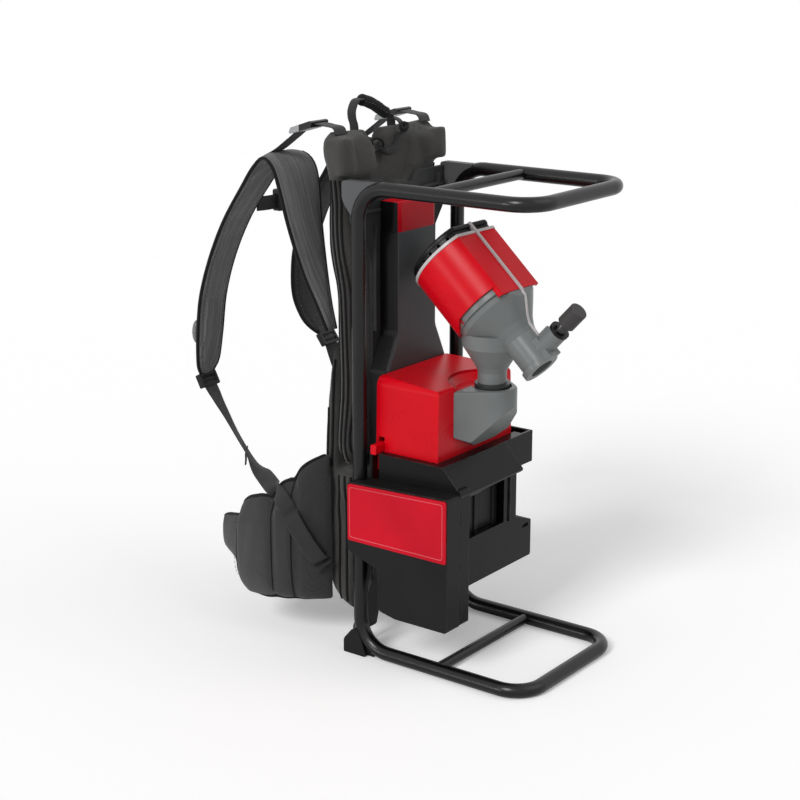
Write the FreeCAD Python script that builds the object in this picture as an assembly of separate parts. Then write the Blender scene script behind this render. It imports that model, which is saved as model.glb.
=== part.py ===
import FreeCAD, Part
import math
import os

# Backpack power unit for a flexible-shaft concrete vibrator, in millimetres.
# +X is the wearer's right, +Y the way the wearer faces, +Z up. Lengths below are measured from
# the plane of the two upright tubes and from the floor. Each piece is written to parts/NODE.step.

V = FreeCAD.Vector
PIECES = {}

# Carrying frame, one closed bent tube
TUBE_R = 9.5
TUBE_WALL = 1.8
FRAME_HALF_WIDTH = 109.0
FRAME_HEIGHT = 625.0
FRAME_DEPTH = 262.0
FRONT_BEND = 44.0
REAR_BEND = 38.0
CROSSBAR_R = 7.0
LOW_CROSSBAR_BACK = 125.0
TOP_CROSSBAR_BACK = 107.0
LOW_TUBE_Z = TUBE_R
# The machine's own heights keep their share of the frame's height
RISE = FRAME_HEIGHT / 625.0
TOP_TUBE_Z = LOW_TUBE_Z + FRAME_HEIGHT
BRACKET_WIDTH = 20.0
FOOT_REACH = 13.0
CORNER_REACH = 14.0

# Back plate and spine
PLATE_Y = 16.0
PLATE_THICK = 6.0
PLATE_HALF_WIDTH = 60.0
PLATE_LOW_Z = 52.0
PLATE_TOP_Z = TOP_TUBE_Z + 2.0
ARM_HEIGHT = 66.0
RIB_DEPTH = 5.0
RIB_THICK = 3.0
TOWER_HALF_WIDTH = 43.0
TOWER_BASE_HALF_WIDTH = 66.0
TOWER_BACK_Y = -13.0
TOWER_LOW_Z = 92.0 * RISE
TOWER_FLARE_LOW_Z = 384.0 * RISE
TOWER_FLARE_TOP_Z = 432.0 * RISE
TOWER_TOP_Z = 567.0 * RISE
TOWER_WALL = 3.0
CAP_HEIGHT = 40.0
CAP_WALL = 3.0

# Red power housing above the dock
HOUSING_NEAR_X = -92.0
HOUSING_FAR_X = 80.0
HOUSING_BACK_Y = -113.0
HOUSING_LOW_Z = 260.0 * RISE
HOUSING_TOP_Z = 386.0 * RISE
HOUSING_TOP_DROP = 7.0
HOUSING_WALL = 3.0
SCOOP_R = 58.0

# Dock and battery
DOCK_NEAR_X = -104.0
DOCK_FAR_X = 108.0
DOCK_BACK_Y = -129.0
DOCK_RIM_Z = HOUSING_LOW_Z + 26.0
DOCK_WALL = 4.0
TRAY_FLOOR_Z = HOUSING_LOW_Z
FASCIA_REACH = 30.0
FASCIA_DROP = 32.0
FASCIA_END_X = 40.0
LOW_BOX_TOP_Z = 172.0 * RISE
LOW_BOX_LOW_Z = 106.0 * RISE
POST_NEAR_X = 40.0
POST_FAR_X = 70.0
CHEEK_REACH = 29.0
CHEEK_THICK = 20.0
CHEEK_LOW_Z = 76.0 * RISE
BAY_TOP_Z = HOUSING_LOW_Z - 14.0
BATTERY_GAP = 0.6
BATTERY_FACE_X = -133.0
BATTERY_HEAD_INNER_X = DOCK_NEAR_X - 0.6
BATTERY_HEAD_BACK_Y = -158.0
BATTERY_HEAD_FRONT_Y = 3.0
BATTERY_HEAD_TOP_Z = 250.0 * RISE
BATTERY_LOW_Z = 75.0 * RISE
BATTERY_STEP_Y = -47.0
BATTERY_STEP_Z = 139.0 * RISE
BATTERY_END_X = 36.0
LABEL_THICK = 2.0
RAIL_HEIGHT = 6.0
LATCH_Y = -22.0
LATCH_WIDTH = 9.0
LATCH_GAP = 0.5
BUTTON_R = 9.0
BUTTON_Z = HOUSING_LOW_Z + 50.0
BUTTON_Y = -60.0
BUTTON_TRAVEL = 2.5

# Swivel base and motor head
NECK_BACK = 134.0
NECK_R = 19.0
JOURNAL_R = 16.0
RUNNING_GAP = 0.05
BUSH_WALL = 3.0
BUSH_FLANGE_R = 23.0
BUSH_FLANGE = 5.0
BASE_TOP_Z = 373.0 * RISE
BASE_ROOT_Z = DOCK_RIM_Z + 8.0
BASE_SIDE_Z = BASE_ROOT_Z + 18.0
BASE_HALF_WIDTH = 57.0
BASE_ROOT_HALF_WIDTH = 20.0
BASE_NOSE_R = 33.0
BASE_NOSE_Z = BASE_TOP_Z - 28.0
JOURNAL_LENGTH = 26.0
HEAD_TILT = 43.0
HEAD_REAR_Y = -71.8
HEAD_REAR_Z = 541.4 * RISE
HOOD_R = 61.5
HOOD_FLAT = 46.0
HOOD_WALL = 3.5
HOOD_START = 5.0
HOOD_SIDE_END = 85.0
HOOD_CHIN_END = 93.0
HOOD_FLAT_END = 99.0
BAND_START = 1.0
VENT_START = -6.0
CAP_START = -13.0
CAP_R = 58.5
CAP_THIN = 1.2
SHELL_WALL = 3.0
SHELL_GAP = 0.3
MOTOR_DROP = 4.0
BARREL_R = 23.5
BARREL_START = 146.0
BARREL_END = 192.0
COUPLING_R = 16.0
COUPLING_DEPTH = 28.0
SOCKET_ROOM_R = 14.0
SOCKET_ROOM_END = 136.0
SEAM_WIDTH = 4.0
SEAM_HEIGHT = 2.2
BOSS_AT = 174.0
BOSS_R = 13.0
BOSS_TOP = 50.0
COLLAR_HEIGHT = 4.0
PIN_R = 5.0
PLUNGER_TRAVEL = 5.0
SHOULDER_LOW = 28.3
SPRING_LOW = SHOULDER_LOW + 2.0 + PLUNGER_TRAVEL + 0.7
KNOB_R = 12.0
KNOB_LOW = 66.0
KNOB_TOP = 93.0
STATOR_R = 42.0
STATOR_BORE_R = 26.0
STATOR_START = 28.0
STATOR_END = 74.0
ROTOR_GAP = 0.6
SHAFT_R = 6.0
BEARING_R = 14.0
BEARING_WIDTH = 9.0
FAN_R = 36.0
FAN_AT = 80.0
SOCKET_R = 12.0

# Harness
PAD_Y = PLATE_Y + PLATE_THICK + 0.4
PAD_HALF_WIDTH = 118.0
PAD_THICK = 28.0
PAD_LOW_Z = 248.0
PAD_TOP_Z = 702.0
ROLL_BACK_Y = 17.0
HOLE_X = -17.0
HOLE_R = 11.5
HOLE_DROP = 33.0
STRAP_THICK = 12.0
WEB_X = 90.0
WEB_WIDTH = 24.0
WEB_THICK = 1.8
STERNUM_Y = 213.0
STERNUM_Z = 585.0
LUMBAR_HALF_WIDTH = 99.0
HANDLE_Y = 50.0
HANDLE_WIDTH = 14.0
GRIP_R = 8.0

# The shared frame's origin: on the floor, midway between the harness and the rear loop
ORIGIN_Y = 11.0


def box(low, high):
    return Part.makeBox(high[0] - low[0], high[1] - low[1], high[2] - low[2], V(*low))


def rod(radius, start, end):
    start = V(*start)
    end = V(*end)
    return Part.makeCylinder(radius, (end - start).Length, start, end - start)


def ring(outer, inner, start, end):
    return rod(outer, start, end).cut(rod(inner, start, end))


def rounded(points, place):
    # Closed wire through (a, b, radius) corners, each radius a true arc; place maps (a, b) to space
    corners = [V(a, b, 0) for a, b, radius in points]
    edges = []
    last = None
    first = None
    count = len(points)
    for i in range(count):
        here = corners[i]
        radius = points[i][2]
        back = (corners[i - 1] - here).normalize()
        ahead = (corners[(i + 1) % count] - here).normalize()
        if radius > 0:
            half = back.getAngle(ahead) / 2
            reach = radius / math.tan(half)
            middle = (back + ahead).normalize()
            start = here + back * reach
            end = here + ahead * reach
            crest = here + middle * (radius / math.sin(half) - radius)
            arc = Part.Arc(place(start), place(crest), place(end)).toShape()
        else:
            start = here
            end = here
            arc = None
        if last is None:
            first = start
        elif (start - last).Length > 1e-6:
            edges.append(Part.LineSegment(place(last), place(start)).toShape())
        if arc is not None:
            edges.append(arc)
        last = end
    if (first - last).Length > 1e-6:
        edges.append(Part.LineSegment(place(last), place(first)).toShape())
    return Part.Wire(edges)


def side_prism(points, low_x, high_x):
    # Points are (y, z, radius), extruded along X
    wire = rounded(points, lambda p: V(low_x, p.x, p.y))
    return Part.Face(wire).extrude(V(high_x - low_x, 0, 0))


def front_prism(points, low_y, high_y):
    # Points are (x, z, radius), extruded along Y
    wire = rounded(points, lambda p: V(p.x, low_y, p.y))
    return Part.Face(wire).extrude(V(0, high_y - low_y, 0))


def plan_prism(points, low_z, high_z):
    # Points are (x, y, radius), extruded along Z
    wire = rounded(points, lambda p: V(p.x, p.y, low_z))
    return Part.Face(wire).extrude(V(0, 0, high_z - low_z))


def turned(points, axis_y=0.0):
    # Profile of (radius, z) points turned about the line x = 0, y = axis_y
    wire = Part.makePolygon([V(r, 0, z) for r, z in points + points[:1]])
    solid = Part.Face(wire).revolve(V(0, 0, 0), V(0, 0, 1), 360)
    solid.translate(V(0, axis_y, 0))
    return solid


def mirrored(shape):
    return shape.mirror(V(0, 0, 0), V(1, 0, 0))


def pair(shape):
    return Part.makeCompound([shape, mirrored(shape)])


def joined(shapes):
    return shapes[0].multiFuse(shapes[1:]).removeSplitter()


def keep(name, shape):
    PIECES[name] = shape


# Carrying frame

def tube_piece(radius):
    # The closed path: up each side, round the top loop, down, and round the bottom loop
    w, d = FRAME_HALF_WIDTH, FRAME_DEPTH
    low, top = LOW_TUBE_Z, TOP_TUBE_Z
    path = [(-w, 0, low), (-w, 0, top), (-w, -d, top), (w, -d, top),
            (w, 0, top), (w, 0, low), (w, -d, low), (-w, -d, low)]
    path = [V(*p) for p in path]
    pieces = []
    ends = []
    for i, corner in enumerate(path):
        back = (path[i - 1] - corner).normalize()
        ahead = (path[(i + 1) % len(path)] - corner).normalize()
        bend = FRONT_BEND if corner.y == 0 else REAR_BEND
        start = corner + back * bend
        centre = start + ahead * bend
        circle = Part.Wire(Part.makeCircle(radius, start, back))
        axis = ahead.cross(back)
        pieces.append(Part.Face(circle).revolve(centre, axis, 90))
        ends.append((start, corner + ahead * bend))
    for i in range(len(path)):
        run_start = ends[i - 1][1]
        run_end = ends[i][0]
        pieces.append(Part.makeCylinder(radius, (run_end - run_start).Length, run_start, run_end - run_start))
    return joined(pieces)


def frame_parts():
    outer = tube_piece(TUBE_R)
    keep("frame_tube", outer.cut(tube_piece(TUBE_R - TUBE_WALL)))
    bars = []
    for back, height in ((LOW_CROSSBAR_BACK, LOW_TUBE_Z), (TOP_CROSSBAR_BACK, TOP_TUBE_Z)):
        bar = ring(CROSSBAR_R, CROSSBAR_R - TUBE_WALL, (-FRAME_HALF_WIDTH, -back, height),
                   (FRAME_HALF_WIDTH, -back, height))
        bars.append(bar.cut(outer))
    keep("frame_crossbars", Part.makeCompound(bars))
    inner_x = FRAME_HALF_WIDTH - BRACKET_WIDTH / 2
    outer_x = FRAME_HALF_WIDTH + BRACKET_WIDTH / 2
    face = TUBE_R + FOOT_REACH
    foot = side_prism([(-16, 0, 3), (face, 0, 2), (face, 19, 9), (8, 36, 4), (-2, 36, 0)], inner_x, outer_x)
    foot = foot.fuse(box((inner_x + 6, -40, 1), (outer_x - 6, -6, 30)))
    foot = foot.common(box((inner_x, -24, 0), (outer_x, face, 60))).cut(outer)
    foot = max(foot.Solids, key=lambda s: s.Volume)
    keep("foot_brackets", pair(foot))
    # The corner plates lie against the inner half of the tube's upper bends, which show in front of them
    inner_x = FRAME_HALF_WIDTH - BRACKET_WIDTH / 2 + 2
    outer_x = FRAME_HALF_WIDTH + 4
    face = TUBE_R + CORNER_REACH
    top = TOP_TUBE_Z + TUBE_R - 3
    corner = side_prism([(-28, top, 2), (face, top, 5), (face, top - 26, 24), (2, top - 52, 0),
                         (-28, top - 20, 0)], inner_x, outer_x).cut(outer)
    corner = max(corner.Solids, key=lambda s: s.CenterOfMass.y)
    keep("corner_brackets", pair(corner))


# Back plate and spine

def back_plate_parts():
    arm_x = FRAME_HALF_WIDTH - BRACKET_WIDTH / 2
    w = PLATE_HALF_WIDTH
    top, low = PLATE_TOP_Z, PLATE_LOW_Z
    arm_low = top - ARM_HEIGHT
    foot_top = 30.0
    right = [(arm_x, low - 32, 0), (arm_x, foot_top, 3), (w, low + 40, 30), (w, arm_low - 40, 40),
             (arm_x, arm_low + 14, 12), (arm_x, top, 0)]
    left = [(-x, z, r) for x, z, r in reversed(right)]
    middle = [(-w + 20, top, 8), (-w + 28, top - 14, 8), (w - 28, top - 14, 8), (w - 20, top, 8)]
    notch = [(-w + 6, low - 32, 4), (-w + 14, low - 4, 10), (w - 14, low - 4, 10), (w - 6, low - 32, 4)]
    outline = right + list(reversed(middle)) + left + notch
    plate = front_prism(outline, PLATE_Y, PLATE_Y + PLATE_THICK)
    ribs = []
    for x in (-w + RIB_THICK, -w * 0.45, w * 0.45, w - RIB_THICK):
        if abs(x) > TOWER_HALF_WIDTH + RIB_THICK:
            ribs.append(box((x - RIB_THICK / 2, PLATE_Y - RIB_DEPTH, TOWER_FLARE_TOP_Z + 4),
                            (x + RIB_THICK / 2, PLATE_Y, arm_low + 6)))
    for x in (-arm_x + 16, arm_x - 16):
        ribs.append(box((x - 1.5, PLATE_Y - RIB_DEPTH, arm_low + 22), (x + 1.5, PLATE_Y, top - 8)))
    for z in (arm_low + 24, top - 24):
        for side in (-1, 1):
            low_x, high_x = sorted((side * (TOWER_HALF_WIDTH + 4), side * (arm_x - 6)))
            ribs.append(box((low_x, PLATE_Y - RIB_DEPTH, z), (high_x, PLATE_Y, z + RIB_THICK)))
    keep("back_plate", joined([plate] + ribs))
    screws = []
    for x in (-TOWER_HALF_WIDTH + 12, TOWER_HALF_WIDTH - 12):
        for z in (TOWER_LOW_Z + 30, HOUSING_LOW_Z + 40, TOWER_TOP_Z - 40):
            head = rod(5, (x, PLATE_Y + PLATE_THICK - 3.2, z), (x, PLATE_Y + PLATE_THICK, z))
            shank = rod(2, (x, PLATE_Y - 14, z), (x, PLATE_Y + PLATE_THICK - 3, z))
            screws.append(head.fuse(shank))
    PIECES["back_plate"] = PIECES["back_plate"].cut(Part.makeCompound(screws))
    keep("spine_screws", Part.makeCompound(screws))


def tower_outline(grow):
    half = TOWER_HALF_WIDTH + grow
    base = TOWER_BASE_HALF_WIDTH + grow
    right = [(base, TOWER_LOW_Z - grow, 6), (base, TOWER_FLARE_LOW_Z, 14), (half, TOWER_FLARE_TOP_Z, 20),
             (half, TOWER_TOP_Z + grow, 0)]
    left = [(-x, z, r) for x, z, r in reversed(right)]
    return right + left


def tower_parts():
    shell = front_prism(tower_outline(0), TOWER_BACK_Y, PLATE_Y)
    rear_edges = [e for e in shell.Edges if e.BoundBox.YMax < TOWER_BACK_Y + 0.01 and e.Length > 60
                  and e.BoundBox.ZLength > 60]
    shell = shell.makeFillet(4, rear_edges)
    hollow = front_prism(tower_outline(-TOWER_WALL), TOWER_BACK_Y + TOWER_WALL, PLATE_Y)
    shell = shell.cut(hollow)
    screw_bosses = [rod(6, (x, TOWER_BACK_Y + 1, z), (x, PLATE_Y, z))
                    for x in (-TOWER_HALF_WIDTH + 12, TOWER_HALF_WIDTH - 12)
                    for z in (TOWER_LOW_Z + 30, HOUSING_LOW_Z + 40, TOWER_TOP_Z - 40)]
    shell = joined([shell] + screw_bosses).cut(PIECES["spine_screws"])
    keep("tower_housing", shell)
    half = TOWER_HALF_WIDTH
    top = TOWER_TOP_Z + CAP_HEIGHT
    cap = plan_prism([(-half, PLATE_Y, 3), (-half, TOWER_BACK_Y, 8), (half, TOWER_BACK_Y, 8), (half, PLATE_Y, 3)],
                     TOWER_TOP_Z, top)
    cap = cap.makeFillet(2.5, [e for e in cap.Edges if e.BoundBox.ZMin > top - 0.01])
    hollow = box((-half + CAP_WALL, TOWER_BACK_Y + CAP_WALL, TOWER_TOP_Z - 1),
                 (half - CAP_WALL, PLATE_Y - CAP_WALL, top - CAP_WALL))
    keep("tower_cap", cap.cut(hollow))
    board_low = TOWER_TOP_Z - 115
    board = box((-half + 10, 4, board_low), (half - 10, 5.6, TOWER_TOP_Z - 58))
    chips = [box((x, -2, z), (x + 14, 4, z + 18)) for x in (-24, 8)
             for z in (board_low + 8, board_low + 32)]
    posts = [rod(3, (x, 5.6, z), (x, PLATE_Y, z)) for x in (-28, 28)
             for z in (board_low + 4, TOWER_TOP_Z - 64)]
    keep("control_board", joined([board] + chips + posts))


# Dock, power housing and battery

def bay_box(grow):
    # The battery's bay; the shape that slides in it is the same box, made smaller by the gap
    return box((DOCK_NEAR_X - 60, DOCK_BACK_Y + 9 - grow, LOW_BOX_LOW_Z + 10 - grow),
               (BATTERY_END_X + 4 + grow, TOWER_BACK_Y - 3.5 + grow, BAY_TOP_Z - 4 + grow))


def dock_parts():
    front_y = TOWER_BACK_Y - 0.5
    far_tray = box((DOCK_NEAR_X, DOCK_BACK_Y, BAY_TOP_Z - 4), (DOCK_FAR_X, front_y, DOCK_RIM_Z))
    tray_hollow = box((HOUSING_NEAR_X - 0.4, HOUSING_BACK_Y - 0.4, TRAY_FLOOR_Z),
                      (DOCK_FAR_X - DOCK_WALL, front_y + 1, DOCK_RIM_Z + 1))
    far_well = box((HOUSING_FAR_X + 6, DOCK_BACK_Y + DOCK_WALL, BAY_TOP_Z),
                   (DOCK_FAR_X - DOCK_WALL, front_y - DOCK_WALL, DOCK_RIM_Z + 1))
    far_slope = side_prism([(front_y + 1, DOCK_RIM_Z - 56, 0), (front_y + 1, DOCK_RIM_Z + 6, 0),
                            (-86, DOCK_RIM_Z + 6, 0), (-86, DOCK_RIM_Z + 2, 0),
                            (front_y - 8, DOCK_RIM_Z - 18, 0), (front_y - 8, DOCK_RIM_Z - 56, 0)], HOUSING_FAR_X + 0.4, DOCK_FAR_X + 1)
    tray = far_tray.cut(tray_hollow).cut(far_well).cut(far_slope)
    fascia = side_prism([(DOCK_BACK_Y + 1, BAY_TOP_Z - 4, 0), (DOCK_BACK_Y + 1, DOCK_RIM_Z, 0),
                         (DOCK_BACK_Y, DOCK_RIM_Z, 0),
                         (DOCK_BACK_Y - FASCIA_REACH, DOCK_RIM_Z - FASCIA_DROP, 3),
                         (DOCK_BACK_Y - FASCIA_REACH + 3, BAY_TOP_Z, 2),
                         (DOCK_BACK_Y - 6, BAY_TOP_Z - 4, 0)], DOCK_NEAR_X, FASCIA_END_X)
    arch = front_prism([(DOCK_NEAR_X + 12, BAY_TOP_Z - 46, 0), (DOCK_NEAR_X + 12, BAY_TOP_Z - 12, 0),
                        (DOCK_NEAR_X + 50, BAY_TOP_Z + 3, 60), (FASCIA_END_X + 1, BAY_TOP_Z + 5, 0),
                        (FASCIA_END_X + 1, BAY_TOP_Z - 46, 0)], DOCK_BACK_Y - FASCIA_REACH - 1, DOCK_BACK_Y - 5)
    cheek = side_prism([(front_y, CHEEK_LOW_Z + 30, 6), (front_y, TRAY_FLOOR_Z + 2, 0),
                        (HOUSING_BACK_Y, TRAY_FLOOR_Z + 19, 20),
                        (DOCK_BACK_Y - CHEEK_REACH, DOCK_RIM_Z - 27, 5),
                        (DOCK_BACK_Y - CHEEK_REACH, CHEEK_LOW_Z, 4),
                        (-60, CHEEK_LOW_Z, 8)], DOCK_NEAR_X, DOCK_NEAR_X + CHEEK_THICK).cut(tray_hollow)
    low_box = front_prism([(DOCK_NEAR_X, LOW_BOX_LOW_Z, 0), (DOCK_NEAR_X, LOW_BOX_TOP_Z, 0),
                           (POST_FAR_X, LOW_BOX_TOP_Z, 3), (DOCK_FAR_X, LOW_BOX_TOP_Z - 14, 3),
                           (DOCK_FAR_X, LOW_BOX_LOW_Z, 3)], DOCK_BACK_Y, front_y)
    low_hollow = box((BATTERY_END_X + 10, DOCK_BACK_Y + DOCK_WALL, LOW_BOX_LOW_Z + DOCK_WALL),
                     (DOCK_FAR_X - DOCK_WALL, front_y - DOCK_WALL, LOW_BOX_TOP_Z + 1))
    notch = box((DOCK_FAR_X - 22, DOCK_BACK_Y - 1, LOW_BOX_TOP_Z - 22), (DOCK_FAR_X - 7, DOCK_BACK_Y + 3, LOW_BOX_TOP_Z - 17))
    low_box = low_box.cut(low_hollow).cut(notch)
    post = box((POST_NEAR_X, DOCK_BACK_Y, LOW_BOX_TOP_Z - 2), (POST_FAR_X, DOCK_BACK_Y + 8, BAY_TOP_Z))
    post_rib = box((POST_NEAR_X + 11, DOCK_BACK_Y - 2, LOW_BOX_TOP_Z - 2), (POST_NEAR_X + 14, DOCK_BACK_Y + 1, BAY_TOP_Z))
    front_wall = box((DOCK_NEAR_X, front_y - 3, LOW_BOX_LOW_Z), (POST_FAR_X, front_y, BAY_TOP_Z))
    end_wall = box((BATTERY_END_X + 4, DOCK_BACK_Y + 6, LOW_BOX_LOW_Z), (BATTERY_END_X + 8, front_y, BAY_TOP_Z))
    peg = box((DOCK_FAR_X - 30, DOCK_BACK_Y + 2, BAY_TOP_Z - 14), (DOCK_FAR_X - 24, DOCK_BACK_Y + 8, BAY_TOP_Z - 3))
    dock = joined([tray, fascia.cut(arch), cheek, low_box, post, post_rib, front_wall, end_wall, peg])
    window = box((DOCK_NEAR_X + CHEEK_THICK, DOCK_BACK_Y - 60, LOW_BOX_TOP_Z), (POST_NEAR_X, DOCK_BACK_Y + 12, BAY_TOP_Z - 4))
    dock = dock.cut(bay_box(0)).cut(window)
    dock = dock.cut(box((HOUSING_NEAR_X - 16, LATCH_Y - LATCH_WIDTH / 2 - 1, BAY_TOP_Z - 6),
                        (HOUSING_NEAR_X + 9, LATCH_Y + LATCH_WIDTH / 2 + 1, DOCK_RIM_Z)))
    keep("dock_shell", dock)
    blades = [box((BATTERY_END_X - 14, y, BAY_TOP_Z - 66), (BATTERY_END_X + 4, y + 2, BAY_TOP_Z - 40)) for y in (-100, -82, -64, -46)]
    plate = box((BATTERY_END_X + 1, -108, BAY_TOP_Z - 74), (BATTERY_END_X + 4, -36, BAY_TOP_Z - 32))
    keep("dock_terminals", joined([plate] + blades))


def housing_parts():
    near, far = HOUSING_NEAR_X, HOUSING_FAR_X
    front_y, back_y = TOWER_BACK_Y - 0.5, HOUSING_BACK_Y
    top = HOUSING_TOP_Z
    body = side_prism([(front_y, HOUSING_LOW_Z, 0), (front_y, top, 3),
                       (back_y, top - HOUSING_TOP_DROP, 6), (back_y, HOUSING_LOW_Z, 0)], near, far)
    crown = front_prism([(near, HOUSING_LOW_Z, 0), (near + 3, top, 14), (far - 5, top, 16), (far, HOUSING_LOW_Z, 0)],
                        back_y, front_y)
    body = body.common(crown)
    scoop = rod(SCOOP_R, (0, -NECK_BACK, BASE_TOP_Z + 4), (0, -NECK_BACK, top + 10))
    scoop = scoop.fuse(Part.makeCone(SCOOP_R - 10, SCOOP_R, 8, V(0, -NECK_BACK, BASE_TOP_Z - 4)))
    inner = side_prism([(front_y - HOUSING_WALL, HOUSING_LOW_Z - 1, 0),
                        (front_y - HOUSING_WALL, BASE_TOP_Z - 14, 6),
                        (back_y + 6, BASE_TOP_Z - 14, 6), (back_y + 6, HOUSING_LOW_Z - 1, 0)],
                       near + 5, far - 5)
    body = body.cut(scoop).cut(inner)
    latch_slot = box((near - 20, LATCH_Y - LATCH_WIDTH / 2 - LATCH_GAP, HOUSING_LOW_Z - 1),
                     (near + 9.5, LATCH_Y + LATCH_WIDTH / 2 + LATCH_GAP, HOUSING_LOW_Z + 45))
    body = body.cut(latch_slot)
    button_bore = rod(BUTTON_R + 0.3, (far - 8, BUTTON_Y, BUTTON_Z), (far + 8, BUTTON_Y, BUTTON_Z))
    keep("power_housing", body.cut(button_bore))
    sink_base = box((near + 18, back_y + 14, HOUSING_LOW_Z), (far - 18, front_y - 12, HOUSING_LOW_Z + 10))
    fins = [box((x, back_y + 14, HOUSING_LOW_Z + 10), (x + 3, front_y - 12, HOUSING_LOW_Z + 52))
            for x in range(int(near + 18), int(far - 20), 16)]
    keep("motor_controller", joined([sink_base] + fins))
    wall = far - 5
    cup = ring(BUTTON_R + 4, BUTTON_R + 0.3, (wall - 12, BUTTON_Y, BUTTON_Z), (wall, BUTTON_Y, BUTTON_Z))
    cup = cup.fuse(rod(BUTTON_R + 4, (wall - 14, BUTTON_Y, BUTTON_Z), (wall - 12, BUTTON_Y, BUTTON_Z)))
    keep("switch_body", cup)
    button = rod(BUTTON_R, (wall - 12 + BUTTON_TRAVEL + 0.5, BUTTON_Y, BUTTON_Z), (far + 3, BUTTON_Y, BUTTON_Z))
    rim = [e for e in button.Edges if e.BoundBox.XMin > far + 2.9]
    keep("power_button", button.makeFillet(1.5, rim))
    stem_low = BAY_TOP_Z - 4 - BATTERY_GAP - RAIL_HEIGHT + 1.0
    stem_top = HOUSING_LOW_Z + 38
    thumb_low = HOUSING_LOW_Z + 25
    half = LATCH_WIDTH / 2
    stem = box((near + 2, LATCH_Y - half, stem_low), (near + 7, LATCH_Y + half, stem_top))
    thumb = side_prism([(LATCH_Y - half, thumb_low, 2), (LATCH_Y + half, thumb_low, 2),
                        (LATCH_Y + half, stem_top, 2), (LATCH_Y - half, stem_top, 2)], near - 17, near + 3)
    keep("battery_latch", stem.fuse(thumb).removeSplitter())


def battery_parts():
    gap = BATTERY_GAP
    face = BATTERY_FACE_X
    back, front = BATTERY_HEAD_BACK_Y, BATTERY_HEAD_FRONT_Y
    top = BATTERY_HEAD_TOP_Z
    head_outline = [(front, top, 6), (front, BATTERY_STEP_Z + 14, 14), (BATTERY_STEP_Y, BATTERY_STEP_Z, 8),
                    (BATTERY_STEP_Y, BATTERY_LOW_Z + 6, 6), (BATTERY_STEP_Y - 28, BATTERY_LOW_Z, 8),
                    (back, BATTERY_LOW_Z, 4), (back, top + 6, 4)]
    head = side_prism(head_outline, face, BATTERY_HEAD_INNER_X)
    clear = box((-FRAME_HALF_WIDTH - TUBE_R - 0.8, TOWER_BACK_Y - 0.2, 0), (0, 60, 400))
    head = head.cut(clear)
    finger = front_prism([(face + 10, BATTERY_LOW_Z - 1, 0), (face + 10, BATTERY_LOW_Z + 26, 5),
                          (BATTERY_HEAD_INNER_X + 1, BATTERY_LOW_Z + 26, 0),
                          (BATTERY_HEAD_INNER_X + 1, BATTERY_LOW_Z - 1, 0)], back + 20, BATTERY_STEP_Y - 22)
    head = head.cut(finger)
    body = bay_box(-gap).common(box((BATTERY_HEAD_INNER_X, -400, 0), (BATTERY_END_X, 400, 400)))
    rail_top = BAY_TOP_Z - 4 - gap
    rail_low = rail_top - RAIL_HEIGHT
    body = body.cut(box((BATTERY_HEAD_INNER_X, -400, rail_low), (BATTERY_END_X + 1, 400, rail_top + 1)))
    way = LATCH_WIDTH / 2 + 1.5
    rail_start = BATTERY_HEAD_INNER_X
    rails = [box((rail_start, body.BoundBox.YMin, rail_low), (BATTERY_END_X, LATCH_Y - way, rail_top))]
    if body.BoundBox.YMax - LATCH_Y > way + 0.8:
        rails.append(box((rail_start, LATCH_Y + way, rail_low), (BATTERY_END_X, body.BoundBox.YMax, rail_top)))
    keep("battery_rails", Part.makeCompound(rails))
    socket = box((BATTERY_END_X - 18, -104, BAY_TOP_Z - 70), (BATTERY_END_X + 1, -40, BAY_TOP_Z - 36))
    core_low, core_top = LOW_BOX_LOW_Z + 26, BAY_TOP_Z - 20
    panels = [box((x, DOCK_BACK_Y, core_low - 4), (x + 34, DOCK_BACK_Y + 11.5, core_top)) for x in (-92, -50, -8)]
    body = body.cut(socket).cut(Part.makeCompound(panels))
    core = box((-96, -110, core_low), (BATTERY_END_X - 24, -32, core_top))
    label = side_prism([(front - 2, top - 2, 5), (front - 2, BATTERY_STEP_Z + 31, 3),
                        (back + 1, BATTERY_STEP_Z + 31, 2), (back + 1, top + 4, 3)], face - LABEL_THICK, face)
    keep("battery_case", head)
    keep("battery_body", body.cut(core))
    keep("battery_label_panel", label)
    rows = []
    row_step = (core_top - core_low - 32) / 2
    for row in range(3):
        for column in range(4):
            z = core_low + 16 + row * row_step
            y = -98.0 + column * 18.5
            rows.append(rod(9, (-95, y, z), (-96 + 106, y, z)))
    carrier = box((-95.5, -109.5, core_low + 0.5), (-91, -32.5, core_top - 0.5))
    keep("battery_cells", joined([carrier] + rows))
    contact_plate = box((BATTERY_END_X - 24, -100, BAY_TOP_Z - 68), (BATTERY_END_X - 18, -44, BAY_TOP_Z - 38))
    PIECES["battery_body"] = PIECES["battery_body"].cut(contact_plate)
    keep("battery_contacts", contact_plate)


# Swivel base

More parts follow.
